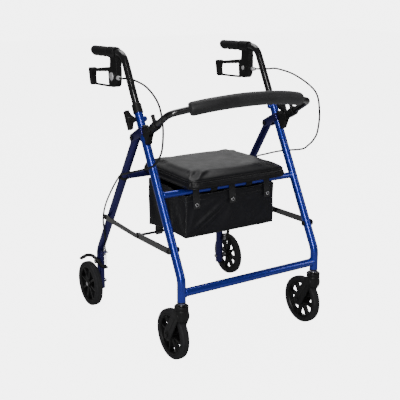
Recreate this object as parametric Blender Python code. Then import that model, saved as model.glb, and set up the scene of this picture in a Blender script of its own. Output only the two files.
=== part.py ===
"""Folding four-wheel rollator walker: seat, curved backrest, storage bag and loop-lever brakes.

Shapes are drawn in millimetres in the walker's own layout frame, which has y = 0 at the caster
stems, z = 0 on the floor and the walking direction towards -Y. MM turns them into metres when a
mesh is made, and the empty "walker" moves y = 0 so that the world origin is the middle of the
footprint. The left side, at -X, is the left one to someone who stands in front of the walker.
"""

import math

import bmesh
import bpy
from mathutils import Matrix, Vector

MM = 0.001
GAP = 0.35  # space left between pieces that touch

# Driving dimensions, mm
WHEEL_R = 76.2  # 6 inch wheels
TYRE_W = 25.0
TYRE_INNER_R = 61.0
TUBE_R = 12.7  # 1 inch frame tube
TUBE_BORE_R = 11.65
BAR_R = 9.5  # 3/4 inch cross tube and backrest bar
HANDLE_R = 11.0  # 7/8 inch handle tube
LEG_X = 243.8  # leg planes, left and right
LEG_LEAN = math.radians(28.56)  # front legs lean back from vertical
STEM_BEND_Z = 259.4
LEG_FOOT_Z = 191.0
LEG_LENGTH = 515.0  # leaning part of the front leg, from the bend to its top
BORE_FROM = 284.0  # where the handle tube's bore starts, from the bend
CROSSBAR_Z = 219.6
SEAT_BAR_Z = 477.0
FRAME_PIVOT = (254.0, 623.5)  # y, z
REAR_BEND = (532.5, 188.6)
REAR_FOOT_Z = 53.0
REAR_BAR_Z = 489.0
REAR_BAR_R = 11.1
CASTER_TRAIL = 48.0
REAR_WHEEL_X = 284.0
HANDLE_TRAVEL = 76.2  # three 1 inch steps each way
KNOB_ALONG = 481.0  # height bolt, measured up the leaning part of the leg
GRIP_DROP = math.radians(4.0)  # the grip runs slightly down towards the user
GRIP_START_Y = 416.0
GRIP_LENGTH = 110.0
BACK_X = 246.0
BACK_TILT = math.radians(30.5)
BACK_BASE = (160.0, 661.5)  # a point on the axis of the backrest bar's straight side, y, z
BACK_DEPTH = 176.3
BACK_BOW_R = 515.0
BACK_CORNER_R = 28.0
BACK_PIVOT_AT = -10.0  # along the straight side
PIN_AT = 30.0
EYE_W = 10.0  # the backrest's hinge: the socket's eye between the receiver's cheeks
CLEVIS_W = 20.0
SEAT_HALF_W = 178.0
SEAT_Y = (57.0, 362.0)
SEAT_Z = (500.9, 538.0)
BAG_HALF_W = 162.0
BAG_Y = (108.0, 338.0)
BAG_TOP_Z = 463.0
BRACE_FRONT_Z = 336.0
BRACE_REAR_Z = 333.5
BRACE_MID = (228.0, 330.0)
LEVER_PIVOT = (386.0, 790.0)
BRAKE_PIVOT = (530.0, 152.0)

SIDES = {"left": -1, "right": 1}
X_AXIS = Vector((1, 0, 0))
Z_AXIS = Vector((0, 0, 1))

# y of the world origin: halfway from the front of the casters to the back of the rear wheels
MIDDLE_Y = (REAR_BEND[0] + CASTER_TRAIL) / 2

LEG_DIR = Vector((0, math.sin(LEG_LEAN), math.cos(LEG_LEAN)))
LEG_BACK = Vector((0, math.cos(LEG_LEAN), -math.sin(LEG_LEAN)))
BACK_DIR = Vector((0, -math.cos(BACK_TILT), math.sin(BACK_TILT)))
BACK_UP = Vector((0, math.sin(BACK_TILT), math.cos(BACK_TILT)))
GRIP_DIR = Vector((0, math.cos(GRIP_DROP), -math.sin(GRIP_DROP)))

COLOURS = {
    "frame_blue": ((0.02, 0.07, 0.42), 0.28, 0.7),
    "black_tube": ((0.012, 0.012, 0.014), 0.25, 0.2),
    "black_plastic": ((0.02, 0.02, 0.022), 0.5, 0.0),
    "tyre_grey": ((0.045, 0.045, 0.05), 0.75, 0.0),
    "vinyl": ((0.015, 0.015, 0.016), 0.4, 0.0),
    "nylon": ((0.012, 0.012, 0.014), 0.8, 0.0),
    "foam": ((0.03, 0.03, 0.033), 0.7, 0.0),
    "zinc": ((0.6, 0.6, 0.62), 0.3, 1.0),
}


# ---------------------------------------------------------------- places


def at(x, yz):
    return Vector((x, yz[0], yz[1]))


def on_leg(x, along, back=0.0):
    """A point beside the leaning part of a front leg: along it from the bend, and behind its axis."""
    return Vector((x, 0, STEM_BEND_Z)) + LEG_DIR * along + LEG_BACK * back


def leg_y(z):
    return (z - STEM_BEND_Z) * math.tan(LEG_LEAN)


def rear_leg_y(z):
    (y0, z0), (y1, z1) = FRAME_PIVOT, REAR_BEND
    return y0 + (z0 - z) * (y1 - y0) / (z0 - z1)


def on_back(x, along, up=0.0):
    """A point in the backrest's plane: forward along its straight side, and above it."""
    return at(x, BACK_BASE) + BACK_DIR * along + BACK_UP * up


def grip_axis_point(y):
    """A point at this y on the axis of the grip, in the plane x = 0."""
    bend_end = handle_path(0)[-2]
    return bend_end + GRIP_DIR * ((y - bend_end.y) / GRIP_DIR.y)


# ---------------------------------------------------------------- paths and outlines


def bent(corners, radius, steps):
    """The path through corners, with an arc of this radius at each inner corner."""
    corners = [Vector(c) for c in corners]
    path = [corners[0]]
    for before, corner, after in zip(corners, corners[1:], corners[2:]):
        way_in = (corner - before).normalized()
        way_out = (after - corner).normalized()
        turn = way_in.angle(way_out)
        start = corner - way_in * radius * math.tan(turn / 2)
        centre = start + (way_out - way_in * way_in.dot(way_out)).normalized() * radius
        axis = way_in.cross(way_out).normalized()
        for step in range(steps + 1):
            swing = Matrix.Rotation(turn * step / steps, 3, axis)
            path.append(centre + swing @ (start - centre))
    return path + [corners[-1]]


def curved(knots, steps):
    """A smooth path through knots: a Catmull-Rom spline."""
    knots = [Vector(k) for k in knots]
    knots = [2 * knots[0] - knots[1]] + knots + [2 * knots[-1] - knots[-2]]
    path = []
    for a, b, c, d in zip(knots, knots[1:], knots[2:], knots[3:]):
        for step in range(steps):
            t = step / steps
            cubic = (3 * b - a - 3 * c + d) * t**3
            path.append(0.5 * (2 * b + (c - a) * t + (2 * a - 5 * b + 4 * c - d) * t**2 + cubic))
    return path + [knots[-2]]


def circle(centre, radius, sides, start=0.0, turn=2 * math.pi):
    """Points on a circle in a plane, or on an arc of it with both ends when turn isn't a full one."""
    count = sides if turn == 2 * math.pi else sides + 1
    angles = [start + turn * i / sides for i in range(count)]
    return [(centre[0] + radius * math.cos(a), centre[1] + radius * math.sin(a)) for a in angles]


def link_outline(first, first_r, second, second_r, sides=8):
    """The outline round two circles and the straight lines that touch both."""
    dx, dy = second[0] - first[0], second[1] - first[1]
    heading = math.atan2(dy, dx)
    open_angle = math.acos((first_r - second_r) / math.hypot(dx, dy))
    back = circle(first, first_r, sides, heading + open_angle, 2 * (math.pi - open_angle))
    front = circle(second, second_r, sides, heading - open_angle, 2 * open_angle)
    return back + front


def handle_path(x):
    """The handle tube's axis: up the leg's line, then round to the grip."""
    turn_radius = 50.0
    corner = on_leg(x, 684.0)
    end = corner + GRIP_DIR * (GRIP_START_Y + GRIP_LENGTH - 6 - corner.y) / GRIP_DIR.y
    return bent([on_leg(x, KNOB_ALONG - 116), corner, end], turn_radius, 6)


def back_path(first_at, corner_steps, bow_steps):
    """The backrest bar's axis: straight side, corner, shallow bow, corner, straight side."""
    bow_centre = BACK_DEPTH - BACK_BOW_R
    corner_x = BACK_X - BACK_CORNER_R
    corner_at = bow_centre + math.sqrt((BACK_BOW_R - BACK_CORNER_R) ** 2 - corner_x**2)
    edge = math.atan2(corner_at - bow_centre, corner_x)
    half = [(BACK_X, first_at)]
    half += circle((corner_x, corner_at), BACK_CORNER_R, corner_steps, 0, edge)
    half += circle((0, bow_centre), BACK_BOW_R, bow_steps, edge, math.pi / 2 - edge)[1:]
    whole = half + [(-x, along) for x, along in reversed(half[:-1])]
    return [on_back(x, along) for x, along in whole]


def pad_path(steps):
    """The part of the bow that the foam pad covers."""
    half_width = 192.0
    edge = math.acos(half_width / BACK_BOW_R)
    bow = circle((0, BACK_DEPTH - BACK_BOW_R), BACK_BOW_R, steps, edge, math.pi - 2 * edge)
    return [on_back(x, along) for x, along in bow]


# ---------------------------------------------------------------- shapes, each a bmesh in mm


def sweep(path, radius, sides, reference=X_AXIS, bore=None):
    """A round bar along a path, or a tube when it has a bore."""
    bm = bmesh.new()
    tangents = []
    for i in range(len(path)):
        tangents.append((path[min(i + 1, len(path) - 1)] - path[max(i - 1, 0)]).normalized())
    side = (reference - tangents[0] * reference.dot(tangents[0])).normalized()
    shells = {}
    for r in (radius, bore) if bore else (radius,):
        shells[r] = []
    for point, tangent in zip(path, tangents):
        side = (side - tangent * side.dot(tangent)).normalized()
        other = tangent.cross(side)
        for r, rings in shells.items():
            ring = [bm.verts.new(point + side * u + other * v) for u, v in circle((0, 0), r, sides)]
            rings.append(ring)
    for rings in shells.values():
        for ring, following in zip(rings, rings[1:]):
            for i in range(sides):
                j = (i + 1) % sides
                bm.faces.new((ring[i], ring[j], following[j], following[i]))
    if bore:
        for end in (0, -1):
            outer, inner = shells[radius][end], shells[bore][end]
            for i in range(sides):
                j = (i + 1) % sides
                bm.faces.new((outer[i], outer[j], inner[j], inner[i]))
    else:
        bm.faces.new(shells[radius][0])
        bm.faces.new(shells[radius][-1])
    return bm


def turned(profile, centre, axis, sides, closed=False):
    """A profile of (distance along the axis, radius) points spun about an axis through centre."""
    bm = bmesh.new()
    axis = Vector(axis).normalized()
    out = axis.orthogonal().normalized()
    if abs(axis.x) > 0.9:
        out = Z_AXIS.copy()
    verts = [bm.verts.new(Vector(centre) + axis * a + out * r) for a, r in profile]
    edges = [bm.edges.new(pair) for pair in zip(verts, verts[1:])]
    if closed:
        edges.append(bm.edges.new((verts[-1], verts[0])))
    bmesh.ops.spin(
        bm, geom=verts + edges, cent=centre, axis=axis, angle=2 * math.pi, steps=sides, use_merge=True
    )
    bmesh.ops.remove_doubles(bm, verts=bm.verts, dist=1e-3)
    return bm


def rod(start, end, radius, sides=10):
    start, end = Vector(start), Vector(end)
    length = (end - start).length
    profile = [(0, 0), (0, radius), (length, radius), (length, 0)]
    return turned(profile, start, end - start, sides)


def plate(outline, x, thickness):
    """An outline in the YZ plane, as a plate centred on this x."""
    bm = bmesh.new()
    face = bm.faces.new([bm.verts.new((x - thickness / 2, y, z)) for y, z in outline])
    made = bmesh.ops.extrude_face_region(bm, geom=[face])
    moved = [v for v in made["geom"] if isinstance(v, bmesh.types.BMVert)]
    bmesh.ops.translate(bm, vec=(thickness, 0, 0), verts=moved)
    return bm


def slab(outline, centre, across, up, thickness):
    """An outline of (across, up) points about a centre, as a plate of this thickness."""
    bm = bmesh.new()
    normal = across.cross(up)
    corners = [centre + across * u + up * v - normal * thickness / 2 for u, v in outline]
    face = bm.faces.new([bm.verts.new(corner) for corner in corners])
    made = bmesh.ops.extrude_face_region(bm, geom=[face])
    moved = [v for v in made["geom"] if isinstance(v, bmesh.types.BMVert)]
    bmesh.ops.translate(bm, vec=normal * thickness, verts=moved)
    return bm


def block(size, centre, turn=None, bevel=0.0, segments=2):
    """A box with rounded edges, turned about its centre by a 3 x 3 rotation."""
    bm = bmesh.new()
    place = Matrix.Translation(centre)
    if turn:
        place = place @ turn.to_4x4()
    bmesh.ops.create_cube(bm, size=1, matrix=place @ Matrix.Diagonal((*size, 1)))
    if bevel:
        bmesh.ops.bevel(
            bm, geom=bm.edges[:], offset=bevel, offset_type="OFFSET", segments=segments, profile=0.5,
            affect="EDGES",
        )
    return bm


def leg_turn():
    """The rotation whose local z runs up the leg and local y points out behind it."""
    return Matrix((X_AXIS, LEG_BACK, LEG_DIR)).transposed()


# ---------------------------------------------------------------- objects


def clear_scene():
    for obj in list(bpy.data.objects):
        bpy.data.objects.remove(obj, do_unlink=True)


def make_materials():
    made = {}
    for name, (colour, roughness, metallic) in COLOURS.items():
        material = bpy.data.materials.new(name)
        material.use_nodes = True
        shader = material.node_tree.nodes["Principled BSDF"]
        shader.inputs["Base Color"].default_value = (*colour, 1)
        shader.inputs["Roughness"].default_value = roughness
        shader.inputs["Metallic"].default_value = metallic
        made[name] = material
    return made


class Workshop:
    """Makes the objects: it holds the parent empty and the materials."""

    def __init__(self):
        clear_scene()
        self.materials = make_materials()
        self.walker = bpy.data.objects.new("walker", None)
        self.walker.location.y = -MIDDLE_Y * MM
        bpy.context.scene.collection.objects.link(self.walker)

    def to_object(self, name, bm, origin):
        bmesh.ops.recalc_face_normals(bm, faces=bm.faces)
        bmesh.ops.translate(bm, vec=-Vector(origin), verts=bm.verts)
        bmesh.ops.scale(bm, vec=(MM, MM, MM), verts=bm.verts)
        mesh = bpy.data.meshes.new(name)
        bm.to_mesh(mesh)
        bm.free()
        obj = bpy.data.objects.new(name, mesh)
        obj.location = Vector(origin) * MM
        obj.parent = self.walker
        bpy.context.scene.collection.objects.link(obj)
        return obj

    def helper(self, obj, shapes, operation):
        """Applies a list of shapes to obj as one Boolean each, with hidden helpers."""
        for shape in shapes:
            tool = self.to_object(f"{obj.name}_{operation.lower()}", shape, (0, 0, 0))
            tool.hide_render = True
            tool.display_type = "WIRE"
            modifier = obj.modifiers.new(operation.lower(), "BOOLEAN")
            modifier.operation = operation
            modifier.object = tool

    def piece(self, name, material, origin, shape, *steps):
        """One sub-part: a first shape, then ("add" or "cut", shapes) steps in order."""
        obj = self.to_object(name, shape, origin)
        obj.data.materials.append(self.materials[material])
        for what, shapes in steps:
            self.helper(obj, shapes, {"add": "UNION", "cut": "DIFFERENCE"}[what])
        obj.data.shade_smooth()
        obj.data.set_sharp_from_angle(angle=math.radians(35))
        return obj


# ---------------------------------------------------------------- frames


def front_leg_corners(x):
    return [(x, 0, LEG_FOOT_Z), (x, 0, STEM_BEND_Z), on_leg(x, LEG_LENGTH)]


def pivot_bracket(x):
    """The clamp round a front leg and its two cheeks, which hold the rear leg's pivot."""
    along = LEG_DIR.dot(at(0, FRAME_PIVOT) - Vector((0, 0, STEM_BEND_Z)))
    clamp = block((33.0, 31.0, 24.0), on_leg(x, along, -1.0), leg_turn(), 2.5, 1)
    root = on_leg(x, along, 2.0)
    cheek = link_outline((root.y, root.z), 12.0, FRAME_PIVOT, 12.5, 5)
    return [clamp] + [plate(cheek, x + side * 15.2, 3.4) for side in (-1, 1)]


def front_frame(shop):
    add, bores, holes = [], [], []
    for s in SIDES.values():
        x = s * LEG_X
        add.append(sweep(bent(front_leg_corners(x), 60, 4), TUBE_R, 12))
        add += pivot_bracket(x)
        knob = on_leg(x, KNOB_ALONG)
        boss = [(0, 0), (0, 8.5), (18.5, 8.5), (22.0, 5.0), (22.0, 0)]
        add.append(turned(boss, knob, (-s, 0, 0), 10))
        low, _, top = [Vector(corner) for corner in front_leg_corners(x)]
        bores.append(rod(top + LEG_DIR * 5, top - LEG_DIR * (LEG_LENGTH - BORE_FROM), TUBE_BORE_R, 12))
        holes.append(rod(low - Z_AXIS * 5, low + Z_AXIS * 36, 6.4))
        holes.append(rod(knob + X_AXIS * s * 20, knob - X_AXIS * s * 19, 3.5))
        pivot = at(x, FRAME_PIVOT)
        holes.append(rod(pivot - X_AXIS * 20, pivot + X_AXIS * 20, 4.35))
        brace = Vector((x, leg_y(BRACE_FRONT_Z), BRACE_FRONT_Z))
        holes.append(rod(brace - X_AXIS * 20, brace + X_AXIS * 20, 4.35))
    reach = X_AXIS * LEG_X
    crossbar = Vector((0, 0, CROSSBAR_Z))
    seat_bar = Vector((0, leg_y(SEAT_BAR_Z), SEAT_BAR_Z))
    main = rod(crossbar - reach, crossbar + reach, TUBE_R - 0.4, 12)
    add.append(rod(seat_bar - reach, seat_bar + reach, BAR_R, 10))
    shop.piece("front_frame", "frame_blue", (0, 0, 0), main, ("add", add), ("cut", bores), ("cut", holes))


def rear_frame(shop):
    add, holes = [], []
    for s in SIDES.values():
        x = s * LEG_X
        pivot, bend = at(x, FRAME_PIVOT), at(x, REAR_BEND)
        up = (pivot - bend).normalized()
        foot = Vector((x, REAR_BEND[0], REAR_FOOT_Z))
        add.append(sweep(bent([pivot + up * 13, bend, foot], 60, 4), TUBE_R, 12))
        add.append(block((16, 38, 3.5), (x, 505, 192), bevel=1.2, segments=1))
        holes.append(rod((x, 497, 186), (x, 497, 200), 3.6))
        axle = Vector((x, REAR_BEND[0], WHEEL_R))
        for place, radius in (
            (pivot, 4.35),
            (axle, 4.85),
            (Vector((x, rear_leg_y(BRACE_REAR_Z), BRACE_REAR_Z)), 4.35),
        ):
            holes.append(rod(place - X_AXIS * 16, place + X_AXIS * 16, radius))
        brake = at(x, BRAKE_PIVOT)
        holes.append(rod(brake, brake + X_AXIS * s * 20, 4.15))
    reach = X_AXIS * LEG_X
    bar = Vector((0, rear_leg_y(REAR_BAR_Z), REAR_BAR_Z))
    main = rod(bar - reach, bar + reach, REAR_BAR_R, 12)
    shop.piece("rear_frame", "frame_blue", at(0, FRAME_PIVOT), main, ("add", add), ("cut", holes))


def frame_pivot_bolt(shop, side, s):
    pivot = at(s * LEG_X, FRAME_PIVOT)
    head = [(-21.5, 0), (-21.5, 4.0), (-19.5, 7.5), (-17.3, 7.5), (-17.3, 4.0)]
    profile = head + [(-a, r) for a, r in reversed(head)]
    shop.piece(f"frame_pivot_bolt_{side}", "black_plastic", pivot, turned(profile, pivot, X_AXIS, 10))


# ---------------------------------------------------------------- side braces


def brace(shop, side, s):
    front = Vector((0, leg_y(BRACE_FRONT_Z), BRACE_FRONT_Z))
    rear = Vector((0, rear_leg_y(BRACE_REAR_Z), BRACE_REAR_Z))
    front_link = plate(
        link_outline((front.y, front.z), 10.0, BRACE_MID, 9.5), s * 260.4, 4.4
    )
    rivet = [
        (-35.0, 0), (-35.0, 5.0), (-33.0, 8.0), (-31.3, 8.0), (-31.3, 4.0),
        (0, 4.0), (2, 4), (2, 7), (4, 5), (4, 0),
    ]
    inner = turned([(a * s, r) for a, r in rivet], front + X_AXIS * s * 262.0, X_AXIS, 8)
    spacer = rod(at(s * 251.0, BRACE_MID), at(s * 260.0, BRACE_MID), 8.0)
    shop.piece(
        f"brace_front_link_{side}", "black_plastic", front + X_AXIS * s * LEG_X,
        front_link, ("add", [inner, spacer]),
    )
    rear_link = plate(link_outline((rear.y, rear.z), 9.0, BRACE_MID, 7.5), s * 265.0, 3.0)
    pin = [(-16, 0), (-16, 4.0), (-8.2, 4.0), (-8.2, 7.0), (0, 7.0), (4.0, 7.0), (5.5, 5.0), (5.5, 0)]
    rear_pin = turned([(a * s, r) for a, r in pin], rear + X_AXIS * s * 265.0, X_AXIS, 8)
    shop.piece(
        f"brace_rear_link_{side}", "black_plastic", rear + X_AXIS * s * LEG_X, rear_link, ("add", [rear_pin])
    )


def cross_rod(shop):
    half = 251.0 - GAP
    shape = rod(at(-half, BRACE_MID), at(half, BRACE_MID), 4.0, 10)
    shop.piece("brace_cross_rod", "black_tube", at(0, BRACE_MID), shape)


# ---------------------------------------------------------------- wheels


def tyre(shop, name, centre):
    r, w = WHEEL_R, TYRE_W / 2
    flank = [(w - 2, TYRE_INNER_R), (w, r - 8), (w - 2, r - 2)]
    profile = [(-a, radius) for a, radius in flank] + [(0, r)] + flank[::-1]
    shop.piece(name, "tyre_grey", centre, turned(profile, centre, X_AXIS, 20, closed=True))


def rim(shop, name, centre, hub_half_width, bore_r):
    """A spoked plastic rim: band, hub, and bars across it that make eight spokes."""
    outer, inner, half = TYRE_INNER_R - 1.2, TYRE_INNER_R - 6, 10.0
    section = [(-half, inner), (-half, outer), (half, outer), (half, inner)]
    band = turned(section, centre, X_AXIS, 16, closed=True)
    hub = rod(centre - X_AXIS * hub_half_width, centre + X_AXIS * hub_half_width, 13.0)
    spokes = []
    for turn in range(4):
        swing = Matrix.Rotation(math.radians(45 * turn + 11), 3, X_AXIS)
        spokes.append(block((7.0, 2 * inner + 3, 7.5), centre, swing))
    hole = rod(centre - X_AXIS * 20, centre + X_AXIS * 20, bore_r)
    shop.piece(name, "black_plastic", centre, band, ("add", [hub] + spokes), ("cut", [hole]))


def caster(shop, side, s):
    stem = Vector((s * LEG_X, 0, 0))
    axle = stem + Vector((0, CASTER_TRAIL, WHEEL_R))
    barrel = [
        (139, 0), (139, 21.0), (171, 21.0), (172.5, 19.6), (174, 21.0), (182, 21.0), (184, 19.0), (184, 0)
    ]
    cheek = link_outline((5, 150), 17.0, (CASTER_TRAIL, WHEEL_R), 18.0)
    arms = [plate(cheek, stem.x + side_x, 5.4) for side_x in (-18.2, 18.2)]
    wheel_room = rod(axle - X_AXIS * 15.5, axle + X_AXIS * 15.5, WHEEL_R + 4, 20)
    axle_hole = rod(axle - X_AXIS * 30, axle + X_AXIS * 30, 4.35)
    stem_hole = rod(stem + Z_AXIS * 152, stem + Z_AXIS * 190, 6.35)
    shop.piece(
        f"caster_fork_{side}", "black_plastic", stem + Z_AXIS * 184,
        turned(barrel, stem, Z_AXIS, 14), ("add", arms), ("cut", [wheel_room, axle_hole, stem_hole]),
    )
    stem_profile = [
        (153, 0), (153, 6.0), (184.4, 6.0), (184.4, 9.5), (190.6, 9.5),
        (190.6, 6.0), (224, 6.0), (226, 4.5), (226, 0),
    ]
    shop.piece(f"caster_stem_{side}", "zinc", stem + Z_AXIS * 184, turned(stem_profile, stem, Z_AXIS, 10))
    tyre(shop, f"caster_tyre_{side}", axle)
    rim(shop, f"caster_rim_{side}", axle, 15.0, 4.35)
    head = [(-24.5, 0), (-24.5, 4.5), (-22.5, 7.0), (-21.3, 7.0), (-21.3, 4.0)]
    bolt = head + [(-a, r) for a, r in reversed(head)]
    shop.piece(f"caster_axle_{side}", "zinc", axle, turned(bolt, axle, X_AXIS, 8))


def rear_wheel(shop, side, s):
    centre = Vector((s * REAR_WHEEL_X, REAR_BEND[0], WHEEL_R))
    tyre(shop, f"rear_tyre_{side}", centre)
    rim(shop, f"rear_rim_{side}", centre, 12.5, 4.85)
    inner_head = -(REAR_WHEEL_X - LEG_X + TUBE_R + 6)
    leg_face = -(REAR_WHEEL_X - LEG_X - TUBE_R - GAP)
    hub_face = -12.5 - GAP
    profile = [
        (inner_head, 0), (inner_head, 5.5), (inner_head + 1.5, 7.0), (inner_head + 5.6, 7.0),
        (inner_head + 5.6, 4.5), (leg_face, 4.5), (leg_face, 8.5), (hub_face, 8.5),
        (hub_face, 4.5), (-hub_face, 4.5), (-hub_face, 7.5),
        (-hub_face + 1.5, 6.0), (-hub_face + 1.5, 0),
    ]
    shop.piece(
        f"rear_axle_{side}", "zinc", centre, turned([(a * s, r) for a, r in profile], centre, X_AXIS, 8)
    )


# ---------------------------------------------------------------- brakes


def brake_arm(shop, side, s):
    """The lever over the rear tyre: a foot before the leg, a pivot beside it, a shoe above the tread."""
    path = curved(
        [
            Vector((s * 243, 498, 137)), Vector((s * 255, 503, 143)), Vector((s * 265, 509, 161)),
            Vector((s * 277, 524, 176)), Vector((s * 283, 552, 171)), Vector((s * 283, 582, 157)),
            Vector((s * 283, 604, 142.6)),
        ],
        2,
    )
    bar = sweep(path, 5.4, 6)
    web = plate(link_outline(BRAKE_PIVOT, 8.0, (508, 160), 6.0), s * 261.0, 6.0)
    foot = block((15, 15, 7), (s * LEG_X, 497, 137.5), bevel=1.5, segments=1)
    spring_seat = rod((s * LEG_X, 497, 138), (s * LEG_X, 497, 145.4), 4.6, 8)
    pivot = rod(at(s * 250, BRAKE_PIVOT), at(s * 267, BRAKE_PIVOT), 3.8)
    boss = rod(at(s * 257.0, BRAKE_PIVOT), at(s * 266, BRAKE_PIVOT), 7.5)
    shoe = block((20, 34, 7.0), (s * 283, 585, 154.3), Matrix.Rotation(-math.radians(31), 3, X_AXIS), 1.5, 1)
    shop.piece(
        f"brake_arm_{side}", "black_plastic", at(s * LEG_X, BRAKE_PIVOT),
        bar, ("add", [web, foot, spring_seat, boss, pivot, shoe]),
    )


def brake_spring(shop, side, s):
    low, high, turns, per_turn = 146.7, 188.7, 6, 8
    path = []
    for i in range(turns * per_turn + 1):
        angle = 2 * math.pi * i / per_turn
        z = low + (high - low) * i / (turns * per_turn)
        path.append(Vector((s * LEG_X + 4.5 * math.cos(angle), 497 + 4.5 * math.sin(angle), z)))
    shop.piece(f"brake_spring_{side}", "zinc", (s * LEG_X, 497, low), sweep(path, 0.8, 4, Z_AXIS))


def cable_adjuster(shop, side, s):
    place = Vector((s * LEG_X, 497, 0))
    profile = [
        (180, 0), (180, 3.2), (194.2, 3.2), (194.2, 5.5), (201, 5.5),
        (202, 4.2), (211, 4.2), (213, 3.0), (213, 0),
    ]
    shop.piece(f"cable_adjuster_{side}", "zinc", place, turned(profile, place, Z_AXIS, 8))


def brake_cable(shop, side, s):
    """The outer cable: forward from the brake housing, round in a loop, then back and down the rear leg."""
    reach = {"left": 66.0, "right": 34.0}[side]
    knots = [
        (250.5, 345, 789), (258.0, 318, 791), (263.5, 288, 794), (266, 242, 798), (266, 150, 786),
        (266, reach + 20, 748), (266, reach, 690), (266, reach + 20, 628), (266, reach + 70, 580),
        (266, 205, 545), (264.5, 290, 514), (260.0, 341, 488), (262.0, 392, 436), (264, 438, 374),
        (263.5, 459, 322), (258, 464, 270), (248, 478, 236),
        (LEG_X + 0.6, 491, 225), (LEG_X, 496.5, 216), (LEG_X, 497, 213.6),
    ]
    path = curved([Vector((s * x, y, z)) for x, y, z in knots], 2)
    profile = [(0, 0), (0, 4.6), (8, 4.6), (12, 3.2), (12, 0)]
    ferrule = turned(profile, (s * 248.5, 356.2, 788), (s * 0.12, -1, 0.05), 8)
    shop.piece(
        f"brake_cable_{side}", "black_plastic", (s * LEG_X, 356, 788),
        sweep(path, 2.4, 5), ("add", [ferrule]),
    )


def brake_housing(shop, side, s):
    x = s * LEG_X
    clamp = [grip_axis_point(y) + X_AXIS * x for y in (370.0, 409.0)]
    body = [
        (362, 862), (357.5, 845), (356.8, 800), (357.5, 774), (367, 760),
        (393, 757), (400, 764), (402, 800), (400, 862),
    ]
    lever_room = [(371.5, 745), (410, 745), (410, 812), (371.5, 812)]
    cuts = [
        sweep(handle_path(x)[1:], HANDLE_R + 0.6, 12),
        plate(lever_room, x, 13.6),
        rod(at(x - 20, LEVER_PIVOT), at(x + 20, LEVER_PIVOT), 5.5),
    ]
    shop.piece(
        f"brake_housing_{side}", "black_plastic", at(x, LEVER_PIVOT),
        plate(body, x, 21.0), ("add", [rod(*clamp, 17.0, 14)]), ("cut", cuts),
    )


def brake_lever(shop, side, s):
    """A flat loop behind the housing, with a tongue that turns on the bolt inside it."""
    x = s * LEG_X
    loop = [
        (412, 816), (470, 808.5), (530, 801), (553, 802), (557, 794), (552, 770),
        (549, 753), (541, 748), (470, 750), (412, 753),
    ]
    room = [(424, 802), (470, 797), (534, 792), (537, 771), (533, 759), (470, 760), (424, 764)]
    tongue = [(386, 777), (400, 756), (416, 754), (416, 805), (400, 805), (386, 803)]
    hub = rod(at(x - 6.4, LEVER_PIVOT), at(x + 6.4, LEVER_PIVOT), 13.0, 14)
    hole = rod(at(x - 20, LEVER_PIVOT), at(x + 20, LEVER_PIVOT), 5.5)
    shop.piece(
        f"brake_lever_{side}", "black_plastic", at(x, LEVER_PIVOT), plate(loop, x, 20.0),
        ("cut", [plate(room, x, 30.0)]), ("add", [plate(tongue, x, 12.8), hub]), ("cut", [hole]),
    )


def lever_bolt(shop, side, s):
    place = at(s * LEG_X, LEVER_PIVOT)
    profile = [
        (-13.2, 0), (-13.2, 7.0), (-10.8, 7.0), (-10.8, 5.0), (10.8, 5.0),
        (10.8, 11.5), (13.4, 11.5), (14.8, 9.5), (14.8, 0),
    ]
    slot = block((2.4, 30, 2.4), place + X_AXIS * s * 15.2, Matrix.Rotation(math.radians(-35), 3, X_AXIS))
    shop.piece(
        f"lever_bolt_{side}", "zinc", place,
        turned([(a * s, r) for a, r in profile], place, X_AXIS, 14), ("cut", [slot]),
    )


# ---------------------------------------------------------------- handles


def handle(shop, side, s):
    x = s * LEG_X
    slot_ends = [on_leg(x, KNOB_ALONG + end) for end in (-HANDLE_TRAVEL, HANDLE_TRAVEL)]
    slot = plate(link_outline(*[pair for end in slot_ends for pair in ((end.y, end.z), 3.9)], 5), x, 40.0)
    tube = sweep(handle_path(x), HANDLE_R, 12)
    shop.piece(f"handle_tube_{side}", "black_tube", on_leg(x, KNOB_ALONG), tube, ("cut", [slot]))
    start = grip_axis_point(GRIP_START_Y) + X_AXIS * x
    profile = [
        (0, 0), (0, 16.5), (4, 16.5), (6, 14.6), (30, 15.4), (70, 15.4),
        (GRIP_LENGTH - 5, 15.8), (GRIP_LENGTH, 13.0), (GRIP_LENGTH, 0),
    ]
    inner = HANDLE_R + 0.6
    socket_profile = [(-5, 0), (-5, inner), (GRIP_LENGTH - 4, inner), (GRIP_LENGTH - 4, 0)]
    shop.piece(
        f"hand_grip_{side}", "black_plastic", start,
        turned(profile, start, GRIP_DIR, 14), ("cut", [turned(socket_profile, start, GRIP_DIR, 12)]),
    )


def collar(shop, side, s):
    base = on_leg(s * LEG_X, 0)
    profile = [
        (499, 13.4), (499, 15.8), (525, 15.4), (527.5, 13.8), (527.5, 11.7), (515.6, 11.7), (515.6, 13.4)
    ]
    ring = turned(profile, base, LEG_DIR, 12, closed=True)
    shop.piece(f"leg_collar_{side}", "black_plastic", on_leg(s * LEG_X, 515), ring)


def height_knob(shop, side, s):
    """A two-winged knob in line with the leg, on a tapered hub, with a blind hole for its bolt."""
    place = on_leg(s * LEG_X, KNOB_ALONG)
    profile = [(TUBE_R + 1.2, 0), (TUBE_R + 1.2, 6.5), (22, 7.5), (34, 10.5), (43.5, 10.5), (43.5, 0)]
    hub = turned([(s * a, r) for a, r in profile], place, X_AXIS, 12)
    upper = [(43.5, 27.5), (33.5, 27.5), (31.0, 18.0), (27.0, 11.0), (22.0, 5.0)]
    outline = upper + [(a, -r) for a, r in reversed(upper)]
    wings = slab(outline, place, X_AXIS * s, LEG_DIR, 14.0)
    hole = rod(place, place + X_AXIS * s * 42, 3.5)
    shop.piece(f"height_knob_{side}", "black_plastic", place, hub, ("add", [wings]), ("cut", [hole]))


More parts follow.
